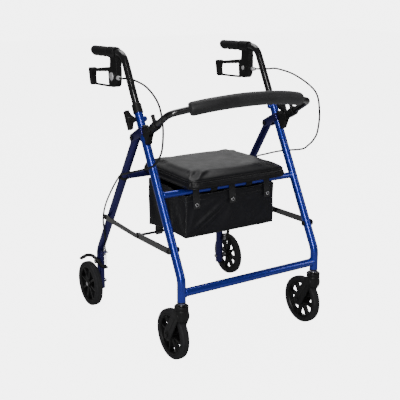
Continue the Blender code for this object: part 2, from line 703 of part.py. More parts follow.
def height_bolt(shop, side, s):
    place = on_leg(s * LEG_X, KNOB_ALONG)
    shape = rod(place - X_AXIS * s * 18.6, place + X_AXIS * s * 41.5, 3.15)
    shop.piece(f"height_bolt_{side}", "zinc", place, shape)


# ---------------------------------------------------------------- backrest


def backrest_receiver(shop, side, s):
    """The plastic mount on the front of a leg, with a clevis and a pin for the socket."""
    x = s * BACK_X
    pivot = on_back(x, BACK_PIVOT_AT)
    foot = [
        (398, -20), (402, -25), (450, -26.5), (456, -22), (456, -17.3), (426, -17.3), (426, -9), (398, -9)
    ]
    pad = plate([on_leg(x, along, back).yz for along, back in foot], x, CLEVIS_W)
    heel = on_leg(x, 430, -22)
    clevis = plate(link_outline((pivot.y, pivot.z), 13.0, (heel.y, heel.z), 12.0), x, CLEVIS_W)
    tip = on_leg(x, 404, -19)
    wedge = plate(link_outline((pivot.y, pivot.z), 10.0, (tip.y, tip.z), 5.0), x, CLEVIS_W)
    clamp_along = LEG_DIR.dot(at(0, FRAME_PIVOT) - Vector((0, 0, STEM_BEND_Z)))
    room = EYE_W / 2 + 0.5
    cuts = [
        rod(on_leg(s * LEG_X, 380), on_leg(s * LEG_X, 500), TUBE_R + 0.9, 12),
        block((34.6, 31.8, 24.8), on_leg(s * LEG_X, clamp_along, -1.0), leg_turn()),
        rod(at(x - room, (pivot.y, pivot.z)), at(x + room, (pivot.y, pivot.z)), 16.0, 14),
    ]
    pin = rod(pivot - X_AXIS * (CLEVIS_W / 2 - 0.5), pivot + X_AXIS * (CLEVIS_W / 2 - 0.5), 4.0)
    shop.piece(
        f"backrest_receiver_{side}", "black_plastic", pivot,
        pad, ("add", [clevis, wedge]), ("cut", cuts), ("add", [pin]),
    )


def backrest_socket(shop, side, s):
    """The socket that holds the bar: a tube with an eye on the receiver's pin."""
    x = s * BACK_X
    pivot = on_back(x, BACK_PIVOT_AT)
    profile = [(15.0, 0), (15.0, 12.5), (16.5, 14.0), (38.0, 14.0), (42.0, 12.8), (42.0, 0)]
    tube = turned(profile, on_back(x, 0), BACK_DIR, 14)
    throat = on_back(x, 20)
    eye = plate(link_outline((pivot.y, pivot.z), 11.5, (throat.y, throat.z), 12.0), x, EYE_W)
    cuts = [
        rod(on_back(x, 21), on_back(x, 50), BAR_R + 0.6, 10),
        rod(pivot - X_AXIS * 20, pivot + X_AXIS * 20, 4.35),
        rod(on_back(x, PIN_AT), on_back(x, PIN_AT, 20), 3.4),
    ]
    shop.piece(f"backrest_socket_{side}", "black_plastic", pivot, tube, ("add", [eye]), ("cut", cuts))


def release_pin(shop, side, s):
    place = on_back(s * BACK_X, PIN_AT)
    profile = [
        (7.2, 0), (7.2, 3.0), (15.0, 3.0), (15.0, 5.8), (27.0, 5.4), (32.0, 6.3), (34.0, 5.0), (34.0, 0)
    ]
    shop.piece(f"release_pin_{side}", "black_plastic", place, turned(profile, place, BACK_UP, 8))


def backrest(shop):
    path = back_path(21.6, 3, 5)
    holes = []
    for s in SIDES.values():
        place = on_back(s * BACK_X, PIN_AT)
        holes.append(rod(place, place + BACK_UP * 20, 3.4))
    hinge = on_back(0, BACK_PIVOT_AT)
    shop.piece("backrest_tube", "black_tube", hinge, sweep(path, BAR_R, 10, BACK_UP), ("cut", holes))
    shop.piece("backrest_pad", "foam", hinge, sweep(pad_path(8), 20.0, 12, BACK_UP, BAR_R + 1.1))


# ---------------------------------------------------------------- seat and bag


def seat(shop):
    hinge = Vector((0, leg_y(SEAT_BAR_Z), SEAT_BAR_Z))
    y0, y1 = SEAT_Y
    z0, z1 = SEAT_Z
    middle_y, depth = (y0 + y1) / 2, y1 - y0
    board = block((340, depth - 17, 5.4), (0, middle_y, z0 + 2.7), bevel=1.5, segments=1)
    clips, holes = [], []
    for s in SIDES.values():
        centre = hinge + X_AXIS * s * 64
        clips.append(rod(centre - X_AXIS * 11, centre + X_AXIS * 11, 13.0, 12))
        clips.append(block((22, 20, 22), centre + Z_AXIS * 15))
        holes.append(rod(centre - X_AXIS * 12, centre + X_AXIS * 12, BAR_R + 0.8, 12))
    shop.piece("seat_base", "black_plastic", hinge, board, ("add", clips), ("cut", holes))
    cushion = block((2 * SEAT_HALF_W, depth, z1 - z0), (0, middle_y, (z0 + z1) / 2), bevel=9.0, segments=3)
    recess = block((341, depth - 16, 12), (0, middle_y, z0 - 0.2))
    shop.piece("seat_cushion", "vinyl", hinge, cushion, ("cut", [recess]))


def storage_bag(shop):
    """An open-topped bag with a sloping floor, on three straps round the seat's front bar."""
    y0, y1 = BAG_Y
    outline = [(y0, 337), (238, 337), (y1, 322), (y1, BAG_TOP_Z), (y0, BAG_TOP_Z)]
    wall = 2.5
    inside = [
        (y0 + wall, 337 + wall), (238, 337 + wall), (y1 - wall, 322 + wall),
        (y1 - wall, 500), (y0 + wall, 500),
    ]
    hinge = Vector((0, leg_y(SEAT_BAR_Z), SEAT_BAR_Z))
    straps, holes = [], []
    for x in (-128, 0, 128):
        centre = hinge + X_AXIS * x
        straps.append(rod(centre - X_AXIS * 11, centre + X_AXIS * 11, BAR_R + 2.8, 12))
        straps.append(block((22, 2.6, 30), (x, centre.y - BAR_R - 1.6, SEAT_BAR_Z - 16)))
        holes.append(rod(centre - X_AXIS * 12, centre + X_AXIS * 12, BAR_R + 0.8, 12))
    shell = plate(outline, 0, 2 * BAG_HALF_W)
    room = plate(inside, 0, 2 * (BAG_HALF_W - wall))
    shop.piece(
        "storage_bag", "nylon", (0, hinge.y, SEAT_BAR_Z),
        shell, ("cut", [room]), ("add", straps), ("cut", holes),
    )


# ---------------------------------------------------------------- the whole walker


def build():
    shop = Workshop()
    front_frame(shop)
    rear_frame(shop)
    cross_rod(shop)
    seat(shop)
    storage_bag(shop)
    backrest(shop)
    for side, s in SIDES.items():
        for make in (
            frame_pivot_bolt, brace, caster, rear_wheel, brake_arm, brake_spring, cable_adjuster,
            brake_cable,
            brake_housing, brake_lever, lever_bolt, handle, collar, height_knob, height_bolt,
            backrest_receiver, backrest_socket, release_pin,
        ):
            make(shop, side, s)


build()
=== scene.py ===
"""How the folding rollator walker looks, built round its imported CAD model.

Like the CAD, shapes are drawn in millimetres in the walker's layout frame: y = 0 at the caster
stems, z = 0 on the floor, walking towards -Y. TO_WORLD turns them into the frame's metres, whose
origin is the middle of the footprint. Each CAD solid is hidden by a finely modelled piece of the
same size, which rides on the same body.
"""

import math

import bmesh
import bpy
from mathutils import Matrix, Vector, noise
from mathutils.bvhtree import BVHTree


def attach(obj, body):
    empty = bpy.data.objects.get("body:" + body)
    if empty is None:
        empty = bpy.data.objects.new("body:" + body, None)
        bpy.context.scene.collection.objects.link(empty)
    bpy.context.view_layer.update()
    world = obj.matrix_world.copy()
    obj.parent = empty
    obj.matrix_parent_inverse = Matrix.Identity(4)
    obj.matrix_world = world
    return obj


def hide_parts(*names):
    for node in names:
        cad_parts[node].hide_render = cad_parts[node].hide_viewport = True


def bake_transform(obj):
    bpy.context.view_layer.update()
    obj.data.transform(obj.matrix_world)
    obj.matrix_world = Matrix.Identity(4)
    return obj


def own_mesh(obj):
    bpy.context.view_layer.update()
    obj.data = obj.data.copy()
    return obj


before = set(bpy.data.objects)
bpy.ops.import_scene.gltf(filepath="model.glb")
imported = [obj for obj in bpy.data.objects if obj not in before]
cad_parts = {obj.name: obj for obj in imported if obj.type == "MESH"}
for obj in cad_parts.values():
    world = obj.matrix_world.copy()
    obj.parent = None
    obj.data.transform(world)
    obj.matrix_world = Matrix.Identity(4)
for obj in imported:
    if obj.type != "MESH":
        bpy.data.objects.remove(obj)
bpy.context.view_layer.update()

MM = 0.001
WHEEL_R = 76.2
TYRE_INNER_R = 61.0
TUBE_R = 12.7
BAR_R = 9.5
HANDLE_R = 11.0
LEG_X = 243.8
LEG_LEAN = math.radians(28.56)
STEM_BEND_Z = 259.4
LEG_FOOT_Z = 191.0
LEG_LENGTH = 515.0
CROSSBAR_Z = 219.6
SEAT_BAR_Z = 477.0
FRAME_PIVOT = (254.0, 623.5)
REAR_BEND = (532.5, 188.6)
REAR_FOOT_Z = 53.0
REAR_BAR_Z = 489.0
REAR_BAR_R = 11.1
CASTER_TRAIL = 48.0
REAR_WHEEL_X = 284.0
KNOB_ALONG = 481.0
HANDLE_TRAVEL = 76.2
GRIP_DROP = math.radians(1.5)
GRIP_START_Y = 416.0
GRIP_LENGTH = 110.0
BACK_X = 246.0
BACK_TILT = math.radians(30.5)
BACK_BASE = (160.0, 661.5)
BACK_DEPTH = 176.3
BACK_BOW_R = 515.0
BACK_CORNER_R = 28.0
BACK_PIVOT_AT = -10.0
PIN_AT = 30.0
SEAT_HALF_W = 178.0
SEAT_Y = (57.0, 362.0)
SEAT_Z = (500.9, 538.0)
BAG_HALF_W = 162.0
BAG_Y = (108.0, 338.0)
BAG_TOP_Z = 463.0
BRACE_FRONT_Z = 336.0
BRACE_REAR_Z = 333.5
BRACE_MID = (228.0, 330.0)
LEVER_PIVOT = (386.0, 790.0)
BRAKE_PIVOT = (530.0, 152.0)
STRAP_X = (-128.0, 0.0, 130.0)

ROOM_LIGHT = 0.11
BACKDROP_GLOW = 5.4
FLOOR_GLOW = 5.1
SOFT_BOXES = (
    ("soft_box_left", (-1.9, -2.6, 1.9), (0.35, 2.8), 80),
    ("soft_box_top", (0.2, 0.9, 3.0), (2.4, 1.6), 38),
    ("soft_box_back", (1.9, 3.0, 1.6), (3.0, 1.5), 14),
    ("soft_box_right", (2.4, -2.0, 1.6), (0.3, 1.8), 8),
)

SIDES = {"left": -1, "right": 1}
X_AXIS = Vector((1, 0, 0))
Y_AXIS = Vector((0, 1, 0))
Z_AXIS = Vector((0, 0, 1))
MIDDLE_Y = (REAR_BEND[0] + CASTER_TRAIL) / 2
TO_WORLD = Matrix.Translation((0, -MIDDLE_Y * MM, 0)) @ Matrix.Scale(MM, 4)

LEG_DIR = Vector((0, math.sin(LEG_LEAN), math.cos(LEG_LEAN)))
LEG_BACK = Vector((0, math.cos(LEG_LEAN), -math.sin(LEG_LEAN)))
BACK_DIR = Vector((0, -math.cos(BACK_TILT), math.sin(BACK_TILT)))
BACK_UP = Vector((0, math.sin(BACK_TILT), math.cos(BACK_TILT)))
GRIP_DIR = Vector((0, math.cos(GRIP_DROP), -math.sin(GRIP_DROP)))

# ---------------------------------------------------------------- materials


class Surface:
    """A Principled material whose colour, roughness and bump come from procedural textures in metres."""

    def __init__(self, name, **inputs):
        self.material = bpy.data.materials.new(name)
        self.material.use_nodes = True
        self.tree = self.material.node_tree
        self.shader = self.tree.nodes["Principled BSDF"]
        self.place = self.tree.nodes.new("ShaderNodeTexCoord").outputs["Object"]
        for key, value in inputs.items():
            self.shader.inputs[key.replace("_", " ")].default_value = value

    def texture(self, kind, **settings):
        node = self.tree.nodes.new(kind)
        for key, value in settings.items():
            if key in node.inputs:
                node.inputs[key].default_value = value
            else:
                setattr(node, key, value)
        self.tree.links.new(self.place, node.inputs["Vector"])
        return node

    def noise(self, scale, detail=3.0):
        return self.texture("ShaderNodeTexNoise", Scale=scale, Detail=detail).outputs["Fac"]

    def cells(self, scale, feature="F1"):
        return self.texture("ShaderNodeTexVoronoi", Scale=scale, feature=feature).outputs["Distance"]

    def bands(self, pitch, direction):
        """Sine bands this many metres apart."""
        scale = 2 * math.pi / (20 * pitch)
        return self.texture("ShaderNodeTexWave", Scale=scale, bands_direction=direction).outputs["Fac"]

    def math(self, operation, first, second):
        node = self.tree.nodes.new("ShaderNodeMath")
        node.operation = operation
        for socket, value in zip(node.inputs, (first, second)):
            if isinstance(value, (int, float)):
                socket.default_value = value
            else:
                self.tree.links.new(value, socket)
        return node.outputs[0]

    def spread(self, value, low, high, start=0.3, end=0.7):
        """value from start..end spread to low..high."""
        node = self.tree.nodes.new("ShaderNodeMapRange")
        self.tree.links.new(value, node.inputs["Value"])
        for key, number in (("From Min", start), ("From Max", end), ("To Min", low), ("To Max", high)):
            node.inputs[key].default_value = number
        return node.outputs[0]

    def mix(self, factor, first, second):
        node = self.tree.nodes.new("ShaderNodeMix")
        node.data_type = "RGBA"
        sockets = (node.inputs[0], node.inputs[6], node.inputs[7])
        for socket, value in zip(sockets, (factor, first, second)):
            if isinstance(value, (int, float, tuple)):
                socket.default_value = (*value, 1) if isinstance(value, tuple) else value
            else:
                self.tree.links.new(value, socket)
        return node.outputs[2]

    def set(self, key, value):
        self.tree.links.new(value, self.shader.inputs[key])
        return self

    def bump(self, height, depth, strength=1.0):
        """Bump of this height map, depth metres deep; calls add up."""
        node = self.tree.nodes.new("ShaderNodeBump")
        node.inputs["Strength"].default_value = strength
        node.inputs["Distance"].default_value = depth
        self.tree.links.new(height, node.inputs["Height"])
        old = self.shader.inputs["Normal"].links
        if old:
            self.tree.links.new(old[0].from_socket, node.inputs["Normal"])
        self.tree.links.new(node.outputs[0], self.shader.inputs["Normal"])
        return self

    def painted_edge_highlight(self, colour, highlight_colour, amount=0.5):
        """Mixes a painted highlight in along the sharp edges: a lighter colour, broken up in patches."""
        geometry = self.tree.nodes.new("ShaderNodeNewGeometry")
        edge = self.spread(geometry.outputs["Pointiness"], 0.0, amount, 0.52, 0.62)
        patchy = self.math("MULTIPLY", edge, self.spread(self.noise(60), 0.2, 1.0))
        return self.mix(patchy, colour, highlight_colour)


def metallic_paint(name, dark, light, coat):
    s = Surface(name, Metallic=0.7, Coat_Weight=coat, Coat_Roughness=0.08, Coat_IOR=1.55)
    flakes = s.spread(s.cells(2600.0), 0.0, 1.0, 0.1, 0.7)
    cloudy = s.mix(s.spread(s.noise(22), 0.0, 0.35), s.mix(flakes, dark, light), dark)
    # painted highlight: a lighter blue mixed in along the sharp edges
    s.set("Base Color", s.painted_edge_highlight(cloudy, tuple(1.6 * level for level in light), 0.35))
    s.set("Roughness", s.spread(s.noise(90), 0.26, 0.33))
    return s.bump(s.noise(380, 2), 0.00005, 0.12).material


def gloss_black():
    s = Surface("gloss_black_paint", Coat_Weight=0.8, Coat_Roughness=0.05)
    # painted highlight: a lighter grey mixed in along the sharp edges
    s.set("Base Color", s.painted_edge_highlight((0.006, 0.006, 0.007), (0.03, 0.03, 0.032), 0.5))
    s.set("Roughness", s.spread(s.noise(60), 0.16, 0.3))
    return s.bump(s.noise(420, 2), 0.00005, 0.1).material


def moulded_plastic(name, level, roughness):
    s = Surface(name, IOR=1.46, Specular_IOR_Level=0.35)
    shade = s.mix(s.spread(s.noise(30), 0.0, 1.0), (level, level, level * 1.04), (level * 1.5, level * 1.5, level * 1.6))
    # painted highlight: a lighter grey mixed in along the sharp edges
    s.set("Base Color", s.painted_edge_highlight(shade, (level * 4, level * 4, level * 4.2), 0.5))
    s.set("Roughness", s.spread(s.noise(150), roughness - 0.07, roughness + 0.08))
    return s.bump(s.cells(1300.0), 0.00012, 0.35).material


def tyre_rubber():
    s = Surface("tyre_rubber", IOR=1.5, Specular_IOR_Level=0.35)
    dusty = s.spread(s.noise(45, 5), 0.0, 0.5, 0.45, 0.75)
    s.set("Base Color", s.mix(dusty, (0.016, 0.016, 0.018), (0.034, 0.033, 0.034)))
    s.set("Roughness", s.spread(s.noise(120), 0.62, 0.85))
    return s.bump(s.noise(900, 4), 0.00025, 0.5).material


def grained_vinyl():
    s = Surface("grained_vinyl", IOR=1.5, Specular_IOR_Level=0.32)
    s.set("Base Color", s.mix(s.spread(s.noise(14, 4), 0.0, 1.0), (0.005, 0.005, 0.006), (0.009, 0.009, 0.0105)))
    s.set("Roughness", s.spread(s.noise(35, 4), 0.36, 0.44))
    grain = s.math("MULTIPLY", s.cells(820.0, "SMOOTH_F1"), s.spread(s.noise(500), 0.6, 1.2))
    return s.bump(s.noise(28, 3), 0.0010, 0.08).bump(grain, 0.0003, 0.45).material


def woven_nylon():
    s = Surface("woven_nylon", Specular_IOR_Level=0.3, Sheen_Weight=0.03, Sheen_Roughness=0.35)
    threads = s.math("ADD", s.math("ADD", s.bands(0.0009, "X"), s.bands(0.0009, "Y")), s.bands(0.0009, "Z"))
    shade = s.mix(s.spread(threads, 0.0, 1.0, 0.8, 2.2), (0.003, 0.003, 0.004), (0.010, 0.010, 0.013))
    s.set("Base Color", s.mix(s.spread(s.noise(18, 4), 0.0, 0.5), shade, (0.013, 0.013, 0.017)))
    s.set("Roughness", s.spread(s.noise(50), 0.40, 0.55))
    return s.bump(s.noise(38, 4), 0.003, 0.5).bump(threads, 0.0001, 0.5).material


def webbing():
    s = Surface("strap_webbing", Sheen_Weight=0.3, Sheen_Roughness=0.3)
    ribs = s.math("ADD", s.bands(0.0016, "X"), s.bands(0.0024, "Z"))
    s.set("Base Color", s.mix(s.spread(ribs, 0.0, 1.0, 0.5, 1.5), (0.006, 0.006, 0.007), (0.02, 0.02, 0.022)))
    s.set("Roughness", s.spread(s.noise(80), 0.6, 0.75))
    return s.bump(ribs, 0.00025, 0.6).material


def foam_skin():
    s = Surface("foam_skin", IOR=1.48, Sheen_Weight=0.15)
    s.set("Base Color", s.mix(s.spread(s.noise(25, 4), 0.0, 1.0), (0.008, 0.008, 0.009), (0.018, 0.018, 0.020)))
    s.set("Roughness", s.spread(s.noise(60), 0.48, 0.6))
    return s.bump(s.noise(60, 4), 0.001, 0.3).bump(s.cells(700.0), 0.0003, 0.4).material


def zinc_plate(name, level, metallic, roughness):
    s = Surface(name, Metallic=metallic)
    s.set("Base Color", s.mix(s.spread(s.noise(120, 4), 0.0, 1.0), (level * 0.8,) * 3, (level, level, level * 1.03)))
    s.set("Roughness", s.spread(s.noise(260), roughness - 0.08, roughness + 0.08))
    return s.bump(s.noise(1500, 2), 0.00006, 0.4).material


def stitching():
    s = Surface("dark_thread", Sheen_Weight=0.4)
    s.set("Base Color", s.mix(s.bands(0.0008, "DIAGONAL"), (0.015, 0.015, 0.016), (0.05, 0.05, 0.055)))
    s.set("Roughness", s.spread(s.noise(200), 0.55, 0.7))
    return s.bump(s.bands(0.0008, "DIAGONAL"), 0.0002, 0.8).material


LOOKS = {
    "paint": (
        metallic_paint("metallic_blue_paint", (0.009, 0.022, 0.32), (0.020, 0.048, 0.50), 0.6), "frame_blue"
    ),
    # painted shade: a darker copy of the blue paint, the same paint as it looks out of the main light
    "shaded_paint": (
        metallic_paint("metallic_blue_paint_in_painted_shade", (0.014, 0.012, 0.10), (0.026, 0.024, 0.17), 0.25), "frame_blue"
    ),
    "gloss": (gloss_black(), "black_tube"),
    "plastic": (moulded_plastic("moulded_plastic", 0.007, 0.46), "black_plastic"),
    "rim": (moulded_plastic("wheel_plastic", 0.003, 0.42), "black_plastic"),
    "grip": (moulded_plastic("grip_rubber", 0.010, 0.58), "black_plastic"),
    "tyre": (tyre_rubber(), "tyre_grey"),
    "vinyl": (grained_vinyl(), "vinyl"),
    "nylon": (woven_nylon(), "nylon"),
    "webbing": (webbing(), "nylon"),
    "foam": (foam_skin(), "foam"),
    "zinc": (zinc_plate("zinc_plate", 0.62, 1.0, 0.28), "zinc"),
    "bolt": (zinc_plate("bright_zinc_plate", 0.86, 0.55, 0.45), "zinc"),
    "thread": (stitching(), "nylon"),
}

# ---------------------------------------------------------------- places, paths and outlines


def at(x, yz):
    return Vector((x, yz[0], yz[1]))


def on_leg(x, along, back=0.0):
    return Vector((x, 0, STEM_BEND_Z)) + LEG_DIR * along + LEG_BACK * back


def leg_y(z):
    return (z - STEM_BEND_Z) * math.tan(LEG_LEAN)


def rear_leg_y(z):
    (y0, z0), (y1, z1) = FRAME_PIVOT, REAR_BEND
    return y0 + (z0 - z) * (y1 - y0) / (z0 - z1)


def on_back(x, along, up=0.0):
    return at(x, BACK_BASE) + BACK_DIR * along + BACK_UP * up


def bent(corners, radius, steps):
    """The path through corners, with an arc of this radius at each inner corner."""
    corners = [Vector(c) for c in corners]
    path = [corners[0]]
    for before, corner, after in zip(corners, corners[1:], corners[2:]):
        way_in = (corner - before).normalized()
        way_out = (after - corner).normalized()
        turn = way_in.angle(way_out)
        start = corner - way_in * radius * math.tan(turn / 2)
        centre = start + (way_out - way_in * way_in.dot(way_out)).normalized() * radius
        axis = way_in.cross(way_out).normalized()
        for step in range(steps + 1):
            swing = Matrix.Rotation(turn * step / steps, 3, axis)
            path.append(centre + swing @ (start - centre))
    return path + [corners[-1]]


def curved(knots, steps):
    """A smooth path through knots: a Catmull-Rom spline."""
    knots = [Vector(k) for k in knots]
    knots = [2 * knots[0] - knots[1]] + knots + [2 * knots[-1] - knots[-2]]
    path = []
    for a, b, c, d in zip(knots, knots[1:], knots[2:], knots[3:]):
        for step in range(steps):
            t = step / steps
            cubic = (3 * b - a - 3 * c + d) * t**3
            path.append(0.5 * (2 * b + (c - a) * t + (2 * a - 5 * b + 4 * c - d) * t**2 + cubic))
    return path + [knots[-2]]


def circle(centre, radius, sides, start=0.0, turn=2 * math.pi):
    count = sides if turn == 2 * math.pi else sides + 1
    angles = [start + turn * i / sides for i in range(count)]
    return [(centre[0] + radius * math.cos(a), centre[1] + radius * math.sin(a)) for a in angles]


def link_outline(first, first_r, second, second_r, sides=16):
    """The outline round two circles and the straight lines that touch both."""
    dx, dy = second[0] - first[0], second[1] - first[1]
    heading = math.atan2(dy, dx)
    open_angle = math.acos((first_r - second_r) / math.hypot(dx, dy))
    back = circle(first, first_r, sides, heading + open_angle, 2 * (math.pi - open_angle))
    return back + circle(second, second_r, sides, heading - open_angle, 2 * open_angle)


def smooth_outline(knots, steps=5):
    """A closed smooth curve through (y, z) knots."""
    count = len(knots)
    points = [Vector(k) for k in knots]
    outline = []
    for i in range(count):
        a, b, c, d = (points[(i + k - 1) % count] for k in range(4))
        for step in range(steps):
            t = step / steps
            cubic = (3 * b - a - 3 * c + d) * t**3
            p = 0.5 * (2 * b + (c - a) * t + (2 * a - 5 * b + 4 * c - d) * t**2 + cubic)
            outline.append((p.x, p.y))
    return outline


def handle_path(x):
    corner = on_leg(x, 687.0)
    end = corner + GRIP_DIR * (GRIP_START_Y + GRIP_LENGTH - 6 - corner.y) / GRIP_DIR.y
    return bent([on_leg(x, KNOB_ALONG - 116), corner, end], 50.0, 20)


def grip_axis_point(y):
    bend_end = handle_path(0)[-2]
    return bend_end + GRIP_DIR * ((y - bend_end.y) / GRIP_DIR.y)


def bow(half_width, steps):
    edge = math.acos(half_width / BACK_BOW_R)
    points = circle((0, BACK_DEPTH - BACK_BOW_R), BACK_BOW_R, steps, edge, math.pi - 2 * edge)
    return [on_back(x, along) for x, along in points]


def back_path(first_at, corner_steps, bow_steps):
    """The backrest bar's axis: straight side, corner, shallow bow, corner, straight side."""
    bow_centre = BACK_DEPTH - BACK_BOW_R
    corner_x = BACK_X - BACK_CORNER_R
    corner_at = bow_centre + math.sqrt((BACK_BOW_R - BACK_CORNER_R) ** 2 - corner_x**2)
    edge = math.atan2(corner_at - bow_centre, corner_x)
    half = [(BACK_X, first_at)]
    half += circle((corner_x, corner_at), BACK_CORNER_R, corner_steps, 0, edge)
    half += circle((0, bow_centre), BACK_BOW_R, bow_steps, edge, math.pi / 2 - edge)[1:]
    whole = half + [(-x, along) for x, along in reversed(half[:-1])]
    return [on_back(x, along) for x, along in whole]


# ---------------------------------------------------------------- shapes, each a bmesh in mm


def sweep(path, radius, sides=24, reference=X_AXIS, flat=1.0, closed=False):
    """A round bar along a path. radius may be a function of the share of the way along; flat squeezes
    the section across the reference direction."""
    bm = bmesh.new()
    count = len(path)
    rings = []
    side = None
    for i, point in enumerate(path):
        before = path[i - 1] if closed or i else path[0]
        after = path[(i + 1) % count] if closed else path[min(i + 1, count - 1)]
        tangent = (after - before).normalized()
        side = side or reference
        side = (side - tangent * side.dot(tangent)).normalized()
        other = tangent.cross(side)
        r = radius(i / (count - 1)) if callable(radius) else radius
        ring = circle((0, 0), r, sides)
        rings.append([bm.verts.new(point + side * u + other * v * flat) for u, v in ring])
    if closed:
        rings.append(rings[0])
    for ring, following in zip(rings, rings[1:]):
        for i in range(sides):
            j = (i + 1) % sides
            bm.faces.new((ring[i], ring[j], following[j], following[i]))
    if not closed:
        bm.faces.new(rings[0])
        bm.faces.new(rings[-1])
    return bm


def ribbon(path, width, thickness):
    """A flat strap along a path in the YZ plane, lying along x."""
    bm = bmesh.new()
    rings = []
    for i, point in enumerate(path):
        tangent = (path[min(i + 1, len(path) - 1)] - path[max(i - 1, 0)]).normalized()
        out = tangent.cross(X_AXIS).normalized() * thickness / 2
        edge = X_AXIS * (width / 2)
        inner = X_AXIS * (width / 2 - 0.5)
        corners = (edge * -1 + out * 0.4, inner * -1 + out, inner + out, edge + out * 0.4)
        corners += (edge - out * 0.4, inner - out, inner * -1 - out, edge * -1 - out * 0.4)
        rings.append([bm.verts.new(point + c) for c in corners])
    for ring, following in zip(rings, rings[1:]):
        for i in range(8):
            j = (i + 1) % 8
            bm.faces.new((ring[i], ring[j], following[j], following[i]))
    bm.faces.new(rings[0])
    bm.faces.new(rings[-1])
    return bm


def turned(profile, centre, axis, sides=40, closed=False):
    """A profile of (distance along the axis, radius) points spun about an axis through centre."""
    bm = bmesh.new()
    axis = Vector(axis).normalized()
    out = Z_AXIS.copy() if abs(axis.x) > 0.9 else axis.orthogonal().normalized()
    verts = [bm.verts.new(Vector(centre) + axis * a + out * r) for a, r in profile]
    edges = [bm.edges.new(pair) for pair in zip(verts, verts[1:])]
    if closed:
        edges.append(bm.edges.new((verts[-1], verts[0])))
    bmesh.ops.spin(
        bm, geom=verts + edges, cent=centre, axis=axis, angle=2 * math.pi, steps=sides, use_merge=True
    )
    bmesh.ops.remove_doubles(bm, verts=bm.verts, dist=1e-3)
    return bm


def rounded(profile, radius=0.8, steps=3):
    """The profile with its inner corners rounded off."""
    points = [Vector((a, r, 0)) for a, r in profile]
    done = [points[0]]
    for before, corner, after in zip(points, points[1:], points[2:]):
        way_in, way_out = corner - before, after - corner
        cut = min(radius, way_in.length * 0.45, way_out.length * 0.45)
        start = corner - way_in.normalized() * cut
        end = corner + way_out.normalized() * cut
        for step in range(steps + 1):
            t = step / steps
            done.append(start * (1 - t) ** 2 + corner * 2 * t * (1 - t) + end * t * t)
    return [(p.x, p.y) for p in done + [points[-1]]]


def rod(start, end, radius, sides=32, edge=0.6):
    start, end = Vector(start), Vector(end)
    length = (end - start).length
    profile = rounded([(0, 0), (0, radius), (length, radius), (length, 0)], edge)
    return turned(profile, start, end - start, sides)


def plate(outline, x, thickness):
    """An outline in the YZ plane, as a plate centred on this x."""
    bm = bmesh.new()
    face = bm.faces.new([bm.verts.new((x - thickness / 2, y, z)) for y, z in outline])
    made = bmesh.ops.extrude_face_region(bm, geom=[face])
    moved = [v for v in made["geom"] if isinstance(v, bmesh.types.BMVert)]
    bmesh.ops.translate(bm, vec=(thickness, 0, 0), verts=moved)
    return bm


def slab(outline, centre, across, up, thickness):
    """An outline of (across, up) distances from centre, as a plate in the plane of those directions."""
    bm = bmesh.new()
    normal = across.cross(up).normalized()
    low = centre - normal * thickness / 2
    face = bm.faces.new([bm.verts.new(low + across * a + up * b) for a, b in outline])
    made = bmesh.ops.extrude_face_region(bm, geom=[face])
    moved = [v for v in made["geom"] if isinstance(v, bmesh.types.BMVert)]
    bmesh.ops.translate(bm, vec=normal * thickness, verts=moved)
    return bm


def block(size, centre, turn=None, bevel=0.0, segments=4):
    bm = bmesh.new()
    place = Matrix.Translation(centre)
    if turn:
        place = place @ turn.to_4x4()
    bmesh.ops.create_cube(bm, size=1, matrix=place @ Matrix.Diagonal((*size, 1)))
    if bevel:
        bmesh.ops.bevel(
            bm, geom=bm.edges[:], offset=bevel, offset_type="OFFSET", segments=segments, profile=0.5, affect="EDGES"
        )
    return bm


def leg_turn():
    return Matrix((X_AXIS, LEG_BACK, LEG_DIR)).transposed()


def merged(shapes):
    """Several closed shapes in one mesh."""
    whole = bmesh.new()
    for shape in shapes:
        mesh = bpy.data.meshes.new("shape")
        bmesh.ops.recalc_face_normals(shape, faces=shape.faces)
        shape.to_mesh(mesh)
        shape.free()
        whole.from_mesh(mesh)
        bpy.data.meshes.remove(mesh)
    return whole


def workpiece(name, bm):
    """A scratch object in mm, for modifiers."""
    bmesh.ops.recalc_face_normals(bm, faces=bm.faces)
    mesh = bpy.data.meshes.new(name)
    bm.to_mesh(mesh)
    bm.free()
    obj = bpy.data.objects.new(name, mesh)
    bpy.context.scene.collection.objects.link(obj)
    return obj


def evaluated(obj, scratch=()):
    """The bmesh that obj's modifiers make. The object and its scratch tools are removed."""
    bm = bmesh.new()
    bm.from_object(obj, bpy.context.evaluated_depsgraph_get())
    for used in (obj, *scratch):
        bpy.data.objects.remove(used, do_unlink=True)
    return bm


def carved(bm, cuts):
    """bm with the cuts taken out."""
    obj = workpiece("carved", bm)
    tools = []
    for cut in cuts:
        tools.append(workpiece("cut", cut))
        modifier = obj.modifiers.new("cut", "BOOLEAN")
        modifier.operation = "DIFFERENCE"
        modifier.object = tools[-1]
    return evaluated(obj, tools)


def moulded(shapes, voxel=1.1, smoothing=4, keep=0.35):
    """Shapes melted into one, with the soft inner and outer corners of a plastic moulding."""
    obj = workpiece("moulded", merged(shapes))
    remesh = obj.modifiers.new("melt", "REMESH")
    remesh.mode = "VOXEL"
    remesh.voxel_size = voxel
    smooth = obj.modifiers.new("soften", "SMOOTH")
    smooth.iterations = smoothing
    fewer = obj.modifiers.new("fewer", "DECIMATE")
    fewer.ratio = keep
    return evaluated(obj)


